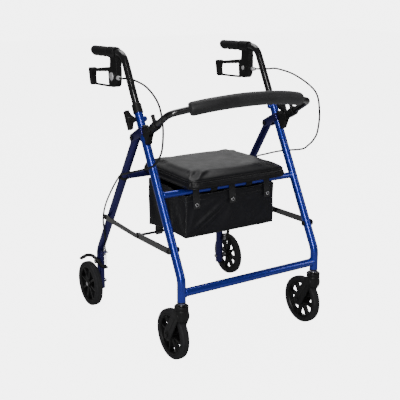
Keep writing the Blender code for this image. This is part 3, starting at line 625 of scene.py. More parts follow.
def make(name, bm, look, body, stands_for=(), bevel=0.0, segments=3, sharp=38):
    """Turns a shape in mm into a piece of the walker, riding on a body when one is given."""
    bmesh.ops.recalc_face_normals(bm, faces=bm.faces)
    bmesh.ops.transform(bm, matrix=TO_WORLD, verts=bm.verts)
    mesh = bpy.data.meshes.new(name)
    bm.to_mesh(mesh)
    bm.free()
    obj = bpy.data.objects.new(name, mesh)
    bpy.context.scene.collection.objects.link(obj)
    material, slot = LOOKS[look]
    mesh.materials.append(material)
    mesh.shade_smooth()
    if bevel:
        edge = obj.modifiers.new("edge", "BEVEL")
        edge.width = bevel * MM
        edge.segments = segments
        edge.limit_method = "ANGLE"
        edge.angle_limit = math.radians(38)
        edge.harden_normals = True
    else:
        mesh.set_sharp_from_angle(angle=math.radians(sharp))
    if body:
        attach(obj, body)
    if stands_for:
        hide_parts(*stands_for)
    return obj


# ---------------------------------------------------------------- frames


def weld_bead(centre, radius, axis):
    """The rounded bead where a cross tube meets a leg."""
    ring = circle((0, radius), 1.7, 10)
    return turned(ring, centre, axis, 40, closed=True)


def cross_tube(y, z, radius):
    inner_face = LEG_X - TUBE_R + 1.0
    parts = [rod((-LEG_X, y, z), (LEG_X, y, z), radius, 40)]
    for s in SIDES.values():
        for step in range(2):
            parts.append(weld_bead(Vector((s * (inner_face - 1.2 * step), y, z)), radius + 0.2 - step * 0.5, X_AXIS))
    return parts


def front_frame():
    parts = cross_tube(0, CROSSBAR_Z, TUBE_R - 0.4) + cross_tube(leg_y(SEAT_BAR_Z), SEAT_BAR_Z, BAR_R)
    for s in SIDES.values():
        x = s * LEG_X
        leg = [(x, 0, LEG_FOOT_Z), (x, 0, STEM_BEND_Z), on_leg(x, LEG_LENGTH)]
        parts.append(sweep(bent(leg, 60, 14), TUBE_R, 48))
        boss = rounded([(0, 0), (0, 8.5), (18.0, 8.5), (22.0, 5.5), (22.0, 0)], 3.0, 6)
        parts.append(turned(boss, on_leg(x, KNOB_ALONG), (-s, 0, 0), 36))
    make("front_frame_tubes", merged(parts), "paint", "front_frame", ["front_frame"])
    pivot_along = LEG_DIR.dot(at(0, FRAME_PIVOT) - Vector((0, 0, STEM_BEND_Z)))
    for side, s in SIDES.items():
        x = s * LEG_X
        bracket = [block((33.0, 31.0, 24.0), on_leg(x, pivot_along, -1.0), leg_turn(), 5.0, 5)]
        root = on_leg(x, pivot_along, 2.0)
        for wall in (-1, 1):
            cheek = link_outline((root.y, root.z), 12.0, FRAME_PIVOT, 12.5)
            shape = plate(cheek, x + wall * 15.2, 3.4)
            rim_edges = [e for e in shape.edges if abs(e.verts[0].co.x - e.verts[1].co.x) < 0.1]
            bmesh.ops.bevel(shape, geom=rim_edges, offset=0.9, segments=2, profile=0.5, affect="EDGES")
            bracket.append(shape)
        # the brackets take the darker copy of the blue paint, painted shade
        make(f"fold_bracket_{side}", merged(bracket), "shaded_paint", "front_frame")
        foot = Vector((s * LEG_X, 0, LEG_FOOT_Z))
        ring = rounded([(-0.3, 6.3), (-0.3, 12.0), (1.0, 13.1), (4.0, 13.1), (5.0, 12.6), (5.0, 6.3)], 0.5)
        make(f"leg_bushing_{side}", turned(ring, foot, Z_AXIS, 40, closed=True), "plastic", "front_frame")


def rear_frame():
    parts = cross_tube(rear_leg_y(REAR_BAR_Z), REAR_BAR_Z, REAR_BAR_R)
    for s in SIDES.values():
        x = s * LEG_X
        pivot, corner = at(x, FRAME_PIVOT), at(x, REAR_BEND)
        up = (pivot - corner).normalized()
        leg = bent([pivot + up * 13, corner, Vector((x, REAR_BEND[0], REAR_FOOT_Z))], 60, 14)
        parts.append(sweep(leg, TUBE_R, 48))
        tab = carved(block((16, 38, 3.5), (x, 505, 192), bevel=1.2, segments=2), [rod((x, 497, 186), (x, 497, 200), 3.6)])
        parts.append(tab)
    # the rear frame takes the darker copy of the blue paint, painted shade
    make("rear_frame_tubes", merged(parts), "shaded_paint", "rear_frame", ["rear_frame"])
    for side, s in SIDES.items():
        x = s * LEG_X
        foot = Vector((x, REAR_BEND[0], REAR_FOOT_Z))
        plug = rounded([(-2.5, 0), (-2.5, 10.0), (-1.0, 12.9), (0.6, 12.9), (0.6, 0)], 0.8)
        make(f"foot_plug_{side}", turned(plug, foot, Z_AXIS), "plastic", "rear_frame")
        pivot = at(x, FRAME_PIVOT)
        top = pivot + (pivot - at(x, REAR_BEND)).normalized() * 13
        make(f"top_plug_{side}", turned(plug, top, at(x, REAR_BEND) - pivot), "plastic", "rear_frame")
        head = [(17.3, 4.0), (17.3, 7.5), (19.5, 7.5), (21.5, 4.5), (21.5, 0)]
        bolt = rounded([(-a, r) for a, r in reversed(head)] + head, 0.9)
        make(f"pivot_bolt_{side}", turned(bolt, pivot, X_AXIS), "plastic", "rear_frame", [f"frame_pivot_bolt_{side}"])
        cable_clip(side, s)


def cable_clip(side, s):
    """A plastic band round the rear leg that carries the cable in a small eye."""
    down = (at(0, REAR_BEND) - at(0, FRAME_PIVOT)).normalized()
    centre = Vector((s * LEG_X, rear_leg_y(487), 487))
    band = turned(rounded([(-5, 12.8), (-5, 14.0), (5, 14.0), (5, 12.8)], 0.5), centre, down, 48, closed=True)
    eye_at = Vector((s * 260.3, 341, 487))
    eye = turned([(-4, 2.6), (-4, 4.2), (4, 4.2), (4, 2.6)], eye_at, down, 24, closed=True)
    make(f"cable_clip_{side}", merged([band, eye]), "plastic", "rear_frame")


def braces():
    half = 251.0 - 0.4
    make(
        "cross_rod", rod(at(-half, BRACE_MID), at(half, BRACE_MID), 4.0, 28), "gloss", "brace_front", ["brace_cross_rod"]
    )
    front = Vector((0, leg_y(BRACE_FRONT_Z), BRACE_FRONT_Z))
    rear = Vector((0, rear_leg_y(BRACE_REAR_Z), BRACE_REAR_Z))
    for side, s in SIDES.items():
        bar = plate(link_outline((front.y, front.z), 10.0, BRACE_MID, 9.5), s * 260.4, 4.4)
        make(f"front_brace_{side}", bar, "gloss", "brace_front", [f"brace_front_link_{side}"], bevel=1.3)
        rivet = rounded([(-35.0, 0), (-35.0, 5.0), (-33.0, 8.0), (-31.3, 8.0), (-31.3, 4.0), (0, 4.0), (0, 7), (4, 5.5), (4.8, 0)], 0.9)
        place = front + X_AXIS * s * 261.0
        make(f"front_brace_rivet_{side}", turned([(a * s, r) for a, r in rivet], place, X_AXIS), "plastic", "brace_front")
        washer = rod(at(s * 251.0, BRACE_MID), at(s * 259.0, BRACE_MID), 8.0)
        make(f"brace_washer_{side}", washer, "plastic", "brace_front")
        bar = plate(link_outline((rear.y, rear.z), 9.0, BRACE_MID, 7.5), s * 265.0, 3.0)
        make(f"rear_brace_{side}", bar, "gloss", "brace_rear", [f"brace_rear_link_{side}"], bevel=1.0)
        pin = rounded([(-16, 0), (-16, 4.0), (-8.2, 4.0), (-8.2, 7.0), (1.0, 7.0), (4.0, 6.6), (5.5, 3.5), (5.5, 0)], 0.9)
        place = rear + X_AXIS * s * 265.0
        make(f"rear_brace_rivet_{side}", turned([(a * s, r) for a, r in pin], place, X_AXIS), "plastic", "brace_rear")


# ---------------------------------------------------------------- wheels


def tyre(name, centre, body, node):
    """A solid tyre with a rounded crown, two tread grooves and a step where it meets the rim."""
    half = [
        (10.4, TYRE_INNER_R), (10.6, 62.6), (12.1, 63.4), (12.5, 66.0), (12.5, 70.0), (11.6, 73.0), (9.6, 74.9),
        (7.0, 75.7), (5.2, 75.9), (4.8, 75.1), (4.0, 75.1), (3.6, 76.1), (1.8, 76.2),
    ]
    profile = [(-a, r) for a, r in half] + [(a, r) for a, r in reversed(half)]
    make(name, turned(profile, centre, X_AXIS, 96, closed=True), "tyre", body, [node], sharp=50)


def rim(name, centre, body, node, hub_half, s):
    """Band with two flanges, eight tapered I-section spokes, and a hub with a recessed bearing face."""
    outer, inner = TYRE_INNER_R - 0.4, TYRE_INNER_R - 6
    band = [
        (-10.8, outer), (-10.8, outer - 3.2), (-9.4, outer - 4.2), (-7.6, inner), (7.6, inner), (9.4, outer - 4.2),
        (10.8, outer - 3.2), (10.8, outer),
    ]
    parts = [turned(band, centre, X_AXIS, 96, closed=True)]
    hub = [
        (-hub_half, 4.4), (-hub_half, 8.6), (-hub_half + 1.2, 9.0), (-hub_half + 1.2, 12.0), (-hub_half + 3.0, 13.0),
        (hub_half - 3.0, 13.0), (hub_half - 1.2, 12.0), (hub_half - 1.2, 9.0), (hub_half, 8.6), (hub_half, 4.4),
    ]
    parts.append(turned(hub, centre, X_AXIS, 48, closed=True))
    for step in range(8):
        swing = Matrix.Rotation(math.radians(45 * step + 11), 3, X_AXIS)
        web = [(11.5, -3.2), (inner + 0.6, -2.6), (inner + 0.6, 2.6), (11.5, 3.2)]
        flange = [(11.5, -4.6), (30.0, -3.7), (inner - 3, -3.7), (inner + 0.6, -5.4), (inner + 0.6, 5.4), (inner - 3, 3.7), (30.0, 3.7), (11.5, 4.6)]
        for outline, x, thick, soft in ((web, 0, 13.0, 0.0), (flange, -6.2, 2.6, 0.8), (flange, 6.2, 2.6, 0.8)):
            shape = plate(outline, x, thick)
            if soft:
                bmesh.ops.bevel(shape, geom=shape.edges[:], offset=soft, segments=2, profile=0.5, affect="EDGES")
            bmesh.ops.transform(shape, matrix=Matrix.Translation(centre) @ swing.to_4x4(), verts=shape.verts)
            parts.append(shape)
    make(name, merged(parts), "rim", body, [node], sharp=35)


def hex_head(centre, axis, across, thickness):
    """A hexagonal bolt head with a chamfered outer face."""
    bm = turned([(0, 0), (0, across * 0.55), (thickness, across * 0.55), (thickness, 0)], centre, axis, 6)
    crown = turned(
        [(-0.2, 0), (-0.2, across * 0.56), (thickness - 0.7, across * 0.56), (thickness + 0.1, across * 0.47), (thickness + 0.1, 0)],
        centre, axis, 40,
    )
    obj = workpiece("hex", bm)
    tool = workpiece("crown", crown)
    cut = obj.modifiers.new("crown", "BOOLEAN")
    cut.operation = "INTERSECT"
    cut.object = tool
    return evaluated(obj, [tool])


def caster(side, s):
    body, stem = f"caster_{side}", Vector((s * LEG_X, 0, 0))
    axle = stem + Vector((0, CASTER_TRAIL, WHEEL_R))
    barrel = rounded(
        [(139, 0), (139, 21.0), (170.6, 21.0), (171.4, 19.4), (174, 19.4), (174.8, 21.0), (182, 21.0), (184, 18.6), (184, 0)], 0.8
    )
    arm = link_outline((5, 150), 17.0, (CASTER_TRAIL, WHEEL_R), 18.5, 24)
    cheeks = [plate(arm, stem.x + side_x, 5.0) for side_x in (-18.3, 18.3)]
    pads = [rod(axle + X_AXIS * a * 15.8, axle + X_AXIS * a * 22.4, 13.5, edge=1.2) for a in (-1, 1)]
    ribs = []
    for a in (-1, 1):
        line = [Vector((stem.x + a * 20.2, 8, 140)), Vector((stem.x + a * 20.2, CASTER_TRAIL - 8, WHEEL_R + 14))]
        ribs.append(sweep(line, 2.0, 12))
    crown = turned(barrel, stem, Z_AXIS, 56)
    shell = moulded([crown] + cheeks + pads + ribs, 1.0, 5, 0.4)
    room = [
        rod(axle - X_AXIS * 15.4, axle + X_AXIS * 15.4, WHEEL_R + 3.8, 72),
        rod(stem + Z_AXIS * 172, stem + Z_AXIS * 190, 9.9, 32),
    ]
    room += [rod(axle + X_AXIS * a * 20.6, axle + X_AXIS * a * 25, 9.6, 40) for a in (-1, 1)]
    make(f"caster_fork_shell_{side}", carved(shell, room), "plastic", body, [f"caster_fork_{side}"], sharp=45)
    stem_profile = [(170, 0), (170, 6.0), (183.6, 6.0), (183.6, 9.5), (186.4, 9.5), (187.2, 7.4), (190.4, 7.4), (190.4, 6.0), (224, 6.0), (226, 0)]
    make(f"caster_stem_bolt_{side}", turned(rounded(stem_profile, 0.5), stem, Z_AXIS), "zinc", body, [f"caster_stem_{side}"])
    shaft = [rod(axle - X_AXIS * 21.8, axle + X_AXIS * 21.8, 4.0)]
    for a in (-1, 1):
        shaft.append(turned(rounded([(0, 0), (0, 7.0), (0.8, 7.0), (0.8, 0)], 0.2), axle + X_AXIS * a * 21.5, X_AXIS * a))
        shaft.append(hex_head(axle + X_AXIS * a * 22.0, X_AXIS * a, 10.0, 3.0))
    make(f"caster_axle_bolt_{side}", merged(shaft), "plastic", body, [f"caster_axle_{side}"])
    wheel = f"caster_wheel_{side}"
    tyre(f"caster_tyre_tread_{side}", axle, wheel, f"caster_tyre_{side}")
    rim(f"caster_rim_spokes_{side}", axle, wheel, f"caster_rim_{side}", 14.6, s)


def rear_wheel(side, s):
    centre = Vector((s * REAR_WHEEL_X, REAR_BEND[0], WHEEL_R))
    wheel = f"rear_wheel_{side}"
    tyre(f"rear_tyre_tread_{side}", centre, wheel, f"rear_tyre_{side}")
    rim(f"rear_rim_spokes_{side}", centre, wheel, f"rear_rim_{side}", 12.3, s)
    out = X_AXIS * s
    leg_face = Vector((s * (LEG_X + TUBE_R), REAR_BEND[0], WHEEL_R))
    parts = [
        rod(centre - out * 58, centre + out * 12.5, 4.5),
        turned(rounded([(0.3, 4.5), (0.3, 8.5), (14.4, 8.5), (14.4, 4.5)], 0.7), leg_face, out, 40, closed=True),
        turned(rounded([(0, 0), (0, 7.5), (1.3, 6.3), (1.3, 0)], 0.4), centre + out * 12.8, out),
    ]
    make(f"rear_axle_parts_{side}", merged(parts), "zinc", "rear_frame", [f"rear_axle_{side}"])
    head = hex_head(Vector((s * (LEG_X - TUBE_R - 0.4), REAR_BEND[0], WHEEL_R)), -out, 12.0, 5.0)
    make(f"rear_axle_nut_{side}", head, "zinc", "rear_frame")


# ---------------------------------------------------------------- brakes


def brake_arm(side, s):
    path = curved(
        [
            Vector((s * 243, 498, 137)), Vector((s * 255, 503, 143)), Vector((s * 265, 509, 161)),
            Vector((s * 277, 524, 176)), Vector((s * 283, 552, 171)), Vector((s * 283, 582, 157)),
            Vector((s * 283, 604, 142.6)),
        ],
        6,
    )
    bar = sweep(path, lambda t: 5.4 + 0.5 * math.sin(math.pi * t), 24)
    web = plate(link_outline(BRAKE_PIVOT, 8.0, (508, 160), 6.0), s * 261.0, 5.6)
    foot = block((15, 15, 7), (s * LEG_X, 497, 137.5), bevel=1.5)
    seat = rod((s * LEG_X, 497, 138), (s * LEG_X, 497, 145.2), 4.4)
    boss = rod(at(s * 257.0, BRAKE_PIVOT), at(s * 266.5, BRAKE_PIVOT), 7.5)
    shoe = block((20, 34, 7.0), (s * 283, 585, 154.3), Matrix.Rotation(-math.radians(31), 3, X_AXIS), 1.8)
    arm = moulded([bar, web, foot, seat, boss, shoe], 0.9, 3, 0.5)
    make(f"brake_arm_moulding_{side}", arm, "plastic", f"brake_arm_{side}", [f"brake_arm_{side}"], sharp=50)
    pin = turned(rounded([(-6, 0), (-6, 3.8), (9.5, 3.8), (9.5, 6.0), (10.6, 5.6), (11.2, 0)], 0.4), at(s * 257, BRAKE_PIVOT), X_AXIS * s)
    make(f"brake_arm_pin_{side}", pin, "zinc", f"brake_arm_{side}")


def brake_spring(side, s):
    low, high, turns, per_turn = 146.4, 189.0, 9, 24
    path = []
    for i in range(turns * per_turn + 1):
        angle = 2 * math.pi * i / per_turn
        z = low + (high - low) * i / (turns * per_turn)
        path.append(Vector((s * LEG_X + 4.5 * math.cos(angle), 497 + 4.5 * math.sin(angle), z)))
    coil = make(f"brake_spring_coil_{side}", sweep(path, 0.8, 10, Z_AXIS), "zinc", "rear_frame", [f"brake_spring_{side}"])
    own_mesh(coil)


def cable_adjuster(side, s):
    place = Vector((s * LEG_X, 497, 0))
    profile = [(194.2, 0), (194.2, 5.5), (201, 5.5), (202, 4.2), (211, 4.2), (213, 3.0), (213, 0)]
    parts = [turned(rounded(profile, 0.4), place, Z_AXIS)]
    thread = [(180 + i * 0.7, 3.2 if i % 2 else 2.6) for i in range(21)]
    parts.append(turned([(180, 0)] + thread + [(194.4, 0)], place, Z_AXIS))
    parts.append(hex_head(Vector((s * LEG_X, 497, 195.0)), Z_AXIS, 10.4, 4.0))
    make(f"adjuster_barrel_{side}", merged(parts), "zinc", "rear_frame", [f"cable_adjuster_{side}"], sharp=30)


def brake_cable(side, s):
    reach = {"left": 58.0, "right": 32.0}[side]
    knots = [
        (250.5, 345, 789), (258.0, 318, 791), (263.5, 288, 794), (266, 242, 798), (266, 150, 786),
        (266, reach + 24, 748), (266, reach, 690), (266, reach + 4, 630), (266, reach + 20, 600),
        (266, reach + 45, 577), (266, reach + 76, 559), (266, 205, 536), (264.5, 290, 509),
        (260.0, 341, 488), (262.0, 392, 436), (264, 438, 374), (263.5, 459, 322), (258, 464, 270), (248, 478, 236),
        (LEG_X + 0.6, 491, 225), (LEG_X, 496.5, 216), (LEG_X, 497, 213.6),
    ]
    path = curved([Vector((s * x, y, z)) for x, y, z in knots], 8)
    foremost = min(range(len(path)), key=lambda i: path[i].y)
    upper, lower = path[: foremost + 1], path[foremost:]
    loose = make(f"cable_upper_{side}", sweep(upper, 2.8, 16), "plastic", None)
    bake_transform(loose)
    loose = make(f"cable_lower_{side}", sweep(lower, 2.8, 16), "plastic", None, [f"brake_cable_{side}"])
    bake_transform(loose)
    start = Vector((s * 248.5, 356.4, 788))
    ahead = Vector((s * 0.12, -1, 0.05))
    sleeve = [(0, 0), (0, 6.8), (9.0, 6.8), (10.0, 5.4), (15.0, 5.0), (15.8, 3.0), (15.8, 0)]
    barrel = turned(rounded(sleeve, 0.5), start, ahead)
    make(f"cable_ferrule_{side}", barrel, "bolt", f"handle_{side}")


def brake_housing(side, s):
    """The lever's housing: a clamp round the handle tube and a hollow body that hangs from it."""
    x = s * LEG_X
    body = smooth_outline(
        [
            (362, 860), (357.8, 842), (357.0, 815), (357.2, 790), (359.5, 772), (367, 761), (380, 757.5),
            (396, 757.5), (406, 764), (408, 782), (404.5, 808), (400, 835), (400, 860),
        ],
        4,
    )
    clamp = rod(grip_axis_point(370.5) + X_AXIS * x, grip_axis_point(408.5) + X_AXIS * x, 16.6, 48, 2.0)
    parts = [plate(body, x, 19.6), clamp]
    disc = rod(at(x + s * 8, LEVER_PIVOT), at(x + s * 10.8, LEVER_PIVOT), 14.0, 40, 1.0)
    nut_pad = rod(at(x - s * 8, LEVER_PIVOT), at(x - s * 10.6, LEVER_PIVOT), 12.0, 40, 1.0)
    parts += [disc, nut_pad]
    for side_x in (-8.9, 8.9):
        line = [Vector((x + side_x, 364, 842)), Vector((x + side_x, 363, 790)), Vector((x + side_x, 368, 768))]
        parts.append(sweep(line, 1.9, 12))
    ear = block((7, 20, 9), grip_axis_point(389) + Vector((x, 0, -17.5)), None, 2.0)
    parts.append(ear)
    shell = moulded(parts, 1.0, 4, 0.4)
    lever_room = [(371.5, 745), (415, 745), (415, 828), (393, 828), (371.5, 808)]
    shell = carved(shell, [plate(lever_room, x, 13.6)])
    make(f"brake_housing_shell_{side}", shell, "plastic", f"handle_{side}", [f"brake_housing_{side}"], sharp=45)


def brake_lever(side, s):
    """A loop with a waved finger bar above, a thin bar below and a thick end post with a round knob."""
    x = s * LEG_X
    name = f"brake_lever_{side}"
    finger_bar = [(408, 816.5), (440, 812.6), (470, 808.5), (500, 804.7), (530, 801.0), (546, 800.0)]
    for step in range(47):
        y = 546 - 3 * step
        taper = 802.0 - (y - 424) * 10.5 / 110
        finger_bar.append((y, taper + 1.3 * math.sin((y - 424) / 21 * 2 * math.pi)))
    bar = plate(finger_bar, x, 13.0)
    low = curved([Vector((x, 398, 761)), Vector((x, 425, 757)), Vector((x, 480, 754.5)), Vector((x, 541, 752.5))], 10)
    lower = sweep(low, 3.6, 16)
    post_line = smooth_outline(
        [(533, 801.5), (553, 802), (556.5, 793), (552.5, 772), (549, 754), (541, 748), (533, 751), (536.5, 766),
         (537, 778), (533.5, 791)], 4
    )
    post = plate(post_line, x, 19.0)
    knob = rod((x - 9.8, 545.5, 795.0), (x + 9.8, 545.5, 795.0), 7.4, 32, 2.2)
    tongue = plate([(386, 777), (400, 757), (417, 754), (421, 800), (417, 815), (406, 811), (386, 803)], x, 12.4)
    hub = rod(at(x - 6.2, LEVER_PIVOT), at(x + 6.2, LEVER_PIVOT), 13.0, 40, 0.8)
    lever = moulded([bar, lower, post, knob, tongue, hub], 0.95, 3, 0.45)
    make(f"lever_loop_{side}", lever, "plastic", name, [name], sharp=50)


def lever_bolt(side, s):
    place = at(s * LEG_X, LEVER_PIVOT)
    profile = [(-13.2, 0), (-13.2, 7.0), (-10.8, 7.0), (-10.8, 5.0), (10.8, 5.0), (10.8, 12.5), (12.8, 12.5), (14.8, 10.8), (15.2, 0)]
    head = turned([(a * s, r) for a, r in rounded(profile, 0.6)], place, X_AXIS, 56)
    slot = block((2.6, 30, 2.2), place + X_AXIS * s * 15.4, Matrix.Rotation(math.radians(-35), 3, X_AXIS))
    make(f"slotted_bolt_{side}", carved(head, [slot]), "bolt", f"handle_{side}", [f"lever_bolt_{side}"], sharp=30)


# ---------------------------------------------------------------- handles


def handle(side, s):
    x = s * LEG_X
    body = f"handle_{side}"
    holes = []
    for step in range(7):
        place = on_leg(x, KNOB_ALONG - HANDLE_TRAVEL + 25.4 * step)
        holes.append(rod(place - X_AXIS * 20, place + X_AXIS * 20, 3.6, 20))
    tube = carved(sweep(handle_path(x), HANDLE_R, 40), holes)
    make(f"handle_bar_{side}", tube, "gloss", body, [f"handle_tube_{side}"])
    start = grip_axis_point(GRIP_START_Y) + X_AXIS * x
    grip = handle_grip(start)
    make(f"grip_sleeve_{side}", grip, "grip", body, [f"hand_grip_{side}"], sharp=50)


def handle_grip(start):
    """A rubber grip with a front flange, rows of small ribs, a palm swell below and a rounded end."""
    bm = bmesh.new()
    length, sides, rows = GRIP_LENGTH, 72, 150
    across = X_AXIS
    up = GRIP_DIR.cross(across) * -1
    rings = []
    for row in range(rows + 1):
        t = row / rows
        along = length * t
        end = max(0.0, (along - (length - 5)) / 5)
        flange = 1.9 * math.exp(-(((along - 2) / 2.6) ** 2)) + 0.8 * math.exp(-(((along - length + 9) / 6) ** 2))
        base = 14.6 + flange + 0.7 * math.sin(math.pi * t) ** 2
        base *= math.sqrt(max(0.0, 1 - end**2 * 0.7))
        ring = []
        for i in range(sides):
            angle = 2 * math.pi * i / sides
            rib = 0.28 * (math.sin(angle * 18) > -0.2) * (0.06 < t < 0.9)
            fingers = 0.7 * math.cos(t * math.pi * 7) * max(0.0, -math.sin(angle)) * (1 - end)
            r = base + rib + fingers
            slant = 5.5 * math.sin(angle) * (base / 15) * t**10
            out = across * r * math.cos(angle) + up * r * math.sin(angle)
            ring.append(bm.verts.new(start + GRIP_DIR * (along + slant) + out))
        rings.append(ring)
    for ring, following in zip(rings, rings[1:]):
        for i in range(sides):
            j = (i + 1) % sides
            bm.faces.new((ring[i], ring[j], following[j], following[i]))
    bm.faces.new(rings[0])
    bm.faces.new(rings[-1])
    return bm


def collar(side, s):
    base = on_leg(s * LEG_X, 0)
    profile = [(499, 12.8), (499, 14.4), (501, 15.0), (507, 15.0), (508, 14.6), (525, 14.4), (527.5, 13.2), (527.5, 11.2)]
    ring = turned(rounded(profile, 0.7) + [(515, 11.2), (515, 12.8)], base, LEG_DIR, 48, closed=True)
    make(f"collar_ring_{side}", ring, "plastic", "front_frame", [f"leg_collar_{side}"], sharp=45)


def height_knob(side, s):
    """A knob on the leg's outer side with two flat wings that lie along the leg."""
    place = on_leg(s * LEG_X, KNOB_ALONG)
    start = TUBE_R + 1.2
    hub = [(start, 0), (start, 6.5), (22, 7.5), (34, 10.5), (43.5, 10.5), (43.5, 0)]
    upper = [(44.2, 28.3), (31.6, 28.3), (29.6, 19.0), (25.5, 12.0), (19.0, 6.5)]
    wings = slab(upper + [(a, -r) for a, r in reversed(upper)], place, X_AXIS * s, LEG_DIR, 15.2)
    knob = moulded([turned([(s * a, r) for a, r in hub], place, X_AXIS, 40), wings], 0.9, 6, 0.5)
    make(f"knob_wings_{side}", knob, "plastic", f"height_knob_{side}", [f"height_knob_{side}"], sharp=60)
    bolt = rod(place - X_AXIS * s * 18.6, place + X_AXIS * s * 18.0, 3.15)
    make(f"knob_bolt_{side}", bolt, "zinc", "front_frame", [f"height_bolt_{side}"])


# ---------------------------------------------------------------- backrest


def receiver(side, s):
    x = s * BACK_X
    pivot = on_back(x, BACK_PIVOT_AT)
    corners = [(398, -20), (402, -25), (450, -26.5), (456, -22), (456, -17.3), (426, -17.3), (426, -12), (398, -12)]
    foot = [on_leg(x, along, back) for along, back in corners]
    heel, tip = on_leg(x, 430, -22), on_leg(x, 404, -19)
    parts = [
        plate([(p.y, p.z) for p in foot], x - s * 1.5, 17.6),
        plate(link_outline((pivot.y, pivot.z), 12.4, (heel.y, heel.z), 11.4), x, 18.6),
        plate(link_outline((pivot.y, pivot.z), 10.4, (tip.y, tip.z), 5.4), x, 18.6),
    ]
    solid = moulded(parts, 0.9, 6, 0.5)
    clamp_along = LEG_DIR.dot(at(0, FRAME_PIVOT) - Vector((0, 0, STEM_BEND_Z)))
    cuts = [
        rod(on_leg(s * LEG_X, 380), on_leg(s * LEG_X, 500), TUBE_R + 0.3, 48),
        block((34.0, 31.6, 24.6), on_leg(s * LEG_X, clamp_along, -1.0), leg_turn()),
        rod(at(x - 5.5, (pivot.y, pivot.z)), at(x + 5.5, (pivot.y, pivot.z)), 16.0, 40),
    ]
    make(f"receiver_body_{side}", carved(solid, cuts), "plastic", "front_frame", [f"backrest_receiver_{side}"], sharp=45)
    pin = [rod(pivot - X_AXIS * 9.6, pivot + X_AXIS * 9.6, 4.0)]
    for a in (-1, 1):
        pin.append(turned(rounded([(0, 0), (0, 6.4), (1.2, 5.8), (1.8, 0)], 0.5), pivot + X_AXIS * a * 9.1, X_AXIS * a))
    make(f"receiver_pin_{side}", merged(pin), "plastic", "front_frame")


def socket(side, s):
    x = s * BACK_X
    pivot, throat = on_back(x, BACK_PIVOT_AT), on_back(x, 20)
    profile = rounded([(15.0, 0), (15.0, 12.5), (16.5, 14.0), (36.0, 14.0), (37.0, 14.6), (40.5, 14.6), (42.0, 13.0), (42.0, 0)], 0.9)
    tube = turned(profile, on_back(x, 0), BACK_DIR, 48)
    eye = plate(link_outline((pivot.y, pivot.z), 11.3, (throat.y, throat.z), 12.0), x, 10.2)
    tower = rod(on_back(x, PIN_AT), on_back(x, PIN_AT, 14.8), 6.4, edge=1.0)
    solid = carved(moulded([tube, eye, tower], 0.8, 3, 0.5), [rod(on_back(x, 30), on_back(x, 50), BAR_R + 0.2, 40)])
    make(f"socket_body_{side}", solid, "plastic", "backrest", [f"backrest_socket_{side}"], sharp=45)


def release_pin(side, s):
    place = on_back(s * BACK_X, PIN_AT)
    profile = [
        (7.2, 0), (7.2, 3.0), (15.3, 3.0), (15.3, 5.8), (17.0, 6.0), (26.0, 5.3), (29.0, 6.3), (32.5, 6.3),
        (34.0, 4.8), (34.0, 0),
    ]
    knob = turned(rounded(profile, 0.9), place, BACK_UP)
    make(f"release_button_{side}", knob, "plastic", f"release_pin_{side}", [f"release_pin_{side}"])


def backrest():
    bar = sweep(back_path(21.6, 14, 40), BAR_R, 36, BACK_UP)
    make("backrest_bar", bar, "gloss", "backrest", ["backrest_tube"])
    path = bow(192.0, 120)
    pad = bmesh.new()
    sides, rings = 48, []
    count = len(path)
    for i, point in enumerate(path):
        tangent = (path[min(i + 1, count - 1)] - path[max(i - 1, 0)]).normalized()
        out = tangent.cross(BACK_UP).normalized()
        ends = min(i, count - 1 - i)
        pull = 1.0 - 0.16 * math.exp(-ends / 0.9) if ends < 6 else 1.0
        ring = []
        for u, v in circle((0, 0), 1.0, sides):
            direction = BACK_UP * u + out * v
            lump = 0.45 * noise.noise(point * 0.012 + direction * 0.4)
            seam = 0.9 * math.exp(-(((math.atan2(v, u) - 2.6) / 0.035) ** 2))
            ring.append(pad.verts.new(point + direction * (20.0 * pull + lump - seam)))
        rings.append(ring)
    for ring, following in zip(rings, rings[1:]):
        for i in range(sides):
            j = (i + 1) % sides
            pad.faces.new((ring[i], ring[j], following[j], following[i]))
    pad.faces.new(rings[0])
    pad.faces.new(rings[-1])
    make("backrest_foam", pad, "foam", "backrest", ["backrest_pad"], sharp=60)


# ---------------------------------------------------------------- seat


def rounded_rectangle(half_x, half_y, radius, arc_steps, side_steps, centre_y):
    """Points round a rectangle with round corners, spread along its sides too."""
    corners = ((1, -1, -90), (1, 1, 0), (-1, 1, 90), (-1, -1, 180))
    points = []
    for i, (sx, sy, start) in enumerate(corners):
        middle = (sx * (half_x - radius), centre_y + sy * (half_y - radius))
        arc = circle(middle, radius, arc_steps, math.radians(start), math.pi / 2)
        points += arc
        nx, ny, following = corners[(i + 1) % 4]
        next_middle = (nx * (half_x - radius), centre_y + ny * (half_y - radius))
        first = Vector(arc[-1])
        last = Vector(circle(next_middle, radius, arc_steps, math.radians(following), math.pi / 2)[0])
        points += [tuple(first.lerp(last, step / side_steps)) for step in range(1, side_steps)]
    return points


def lofted(rings, cap_top=True):
    """A skin over rings of points that all have the same count."""
    bm = bmesh.new()
    made = [[bm.verts.new(p) for p in ring] for ring in rings]
    count = len(rings[0])
    for ring, following in zip(made, made[1:]):
        for i in range(count):
            j = (i + 1) % count
            bm.faces.new((ring[i], ring[j], following[j], following[i]))
    bm.faces.new(made[0])
    if cap_top:
        bm.faces.new(made[-1])
    return bm


def crease(point, start, end, width, height):
    """The height of a rounded fold that runs from start to end, fading out at both ends."""
    start, end, point = Vector(start), Vector(end), Vector(point)
    along = end - start
    t = (point - start).dot(along) / along.length_squared
    if not -0.1 < t < 1.1:
        return 0.0
    away = (point - start - along * t).length
    fade = max(0.0, math.sin(math.pi * min(1.0, max(0.0, (t + 0.1) / 1.2))))
    return height * fade * math.exp(-((away / width) ** 2))


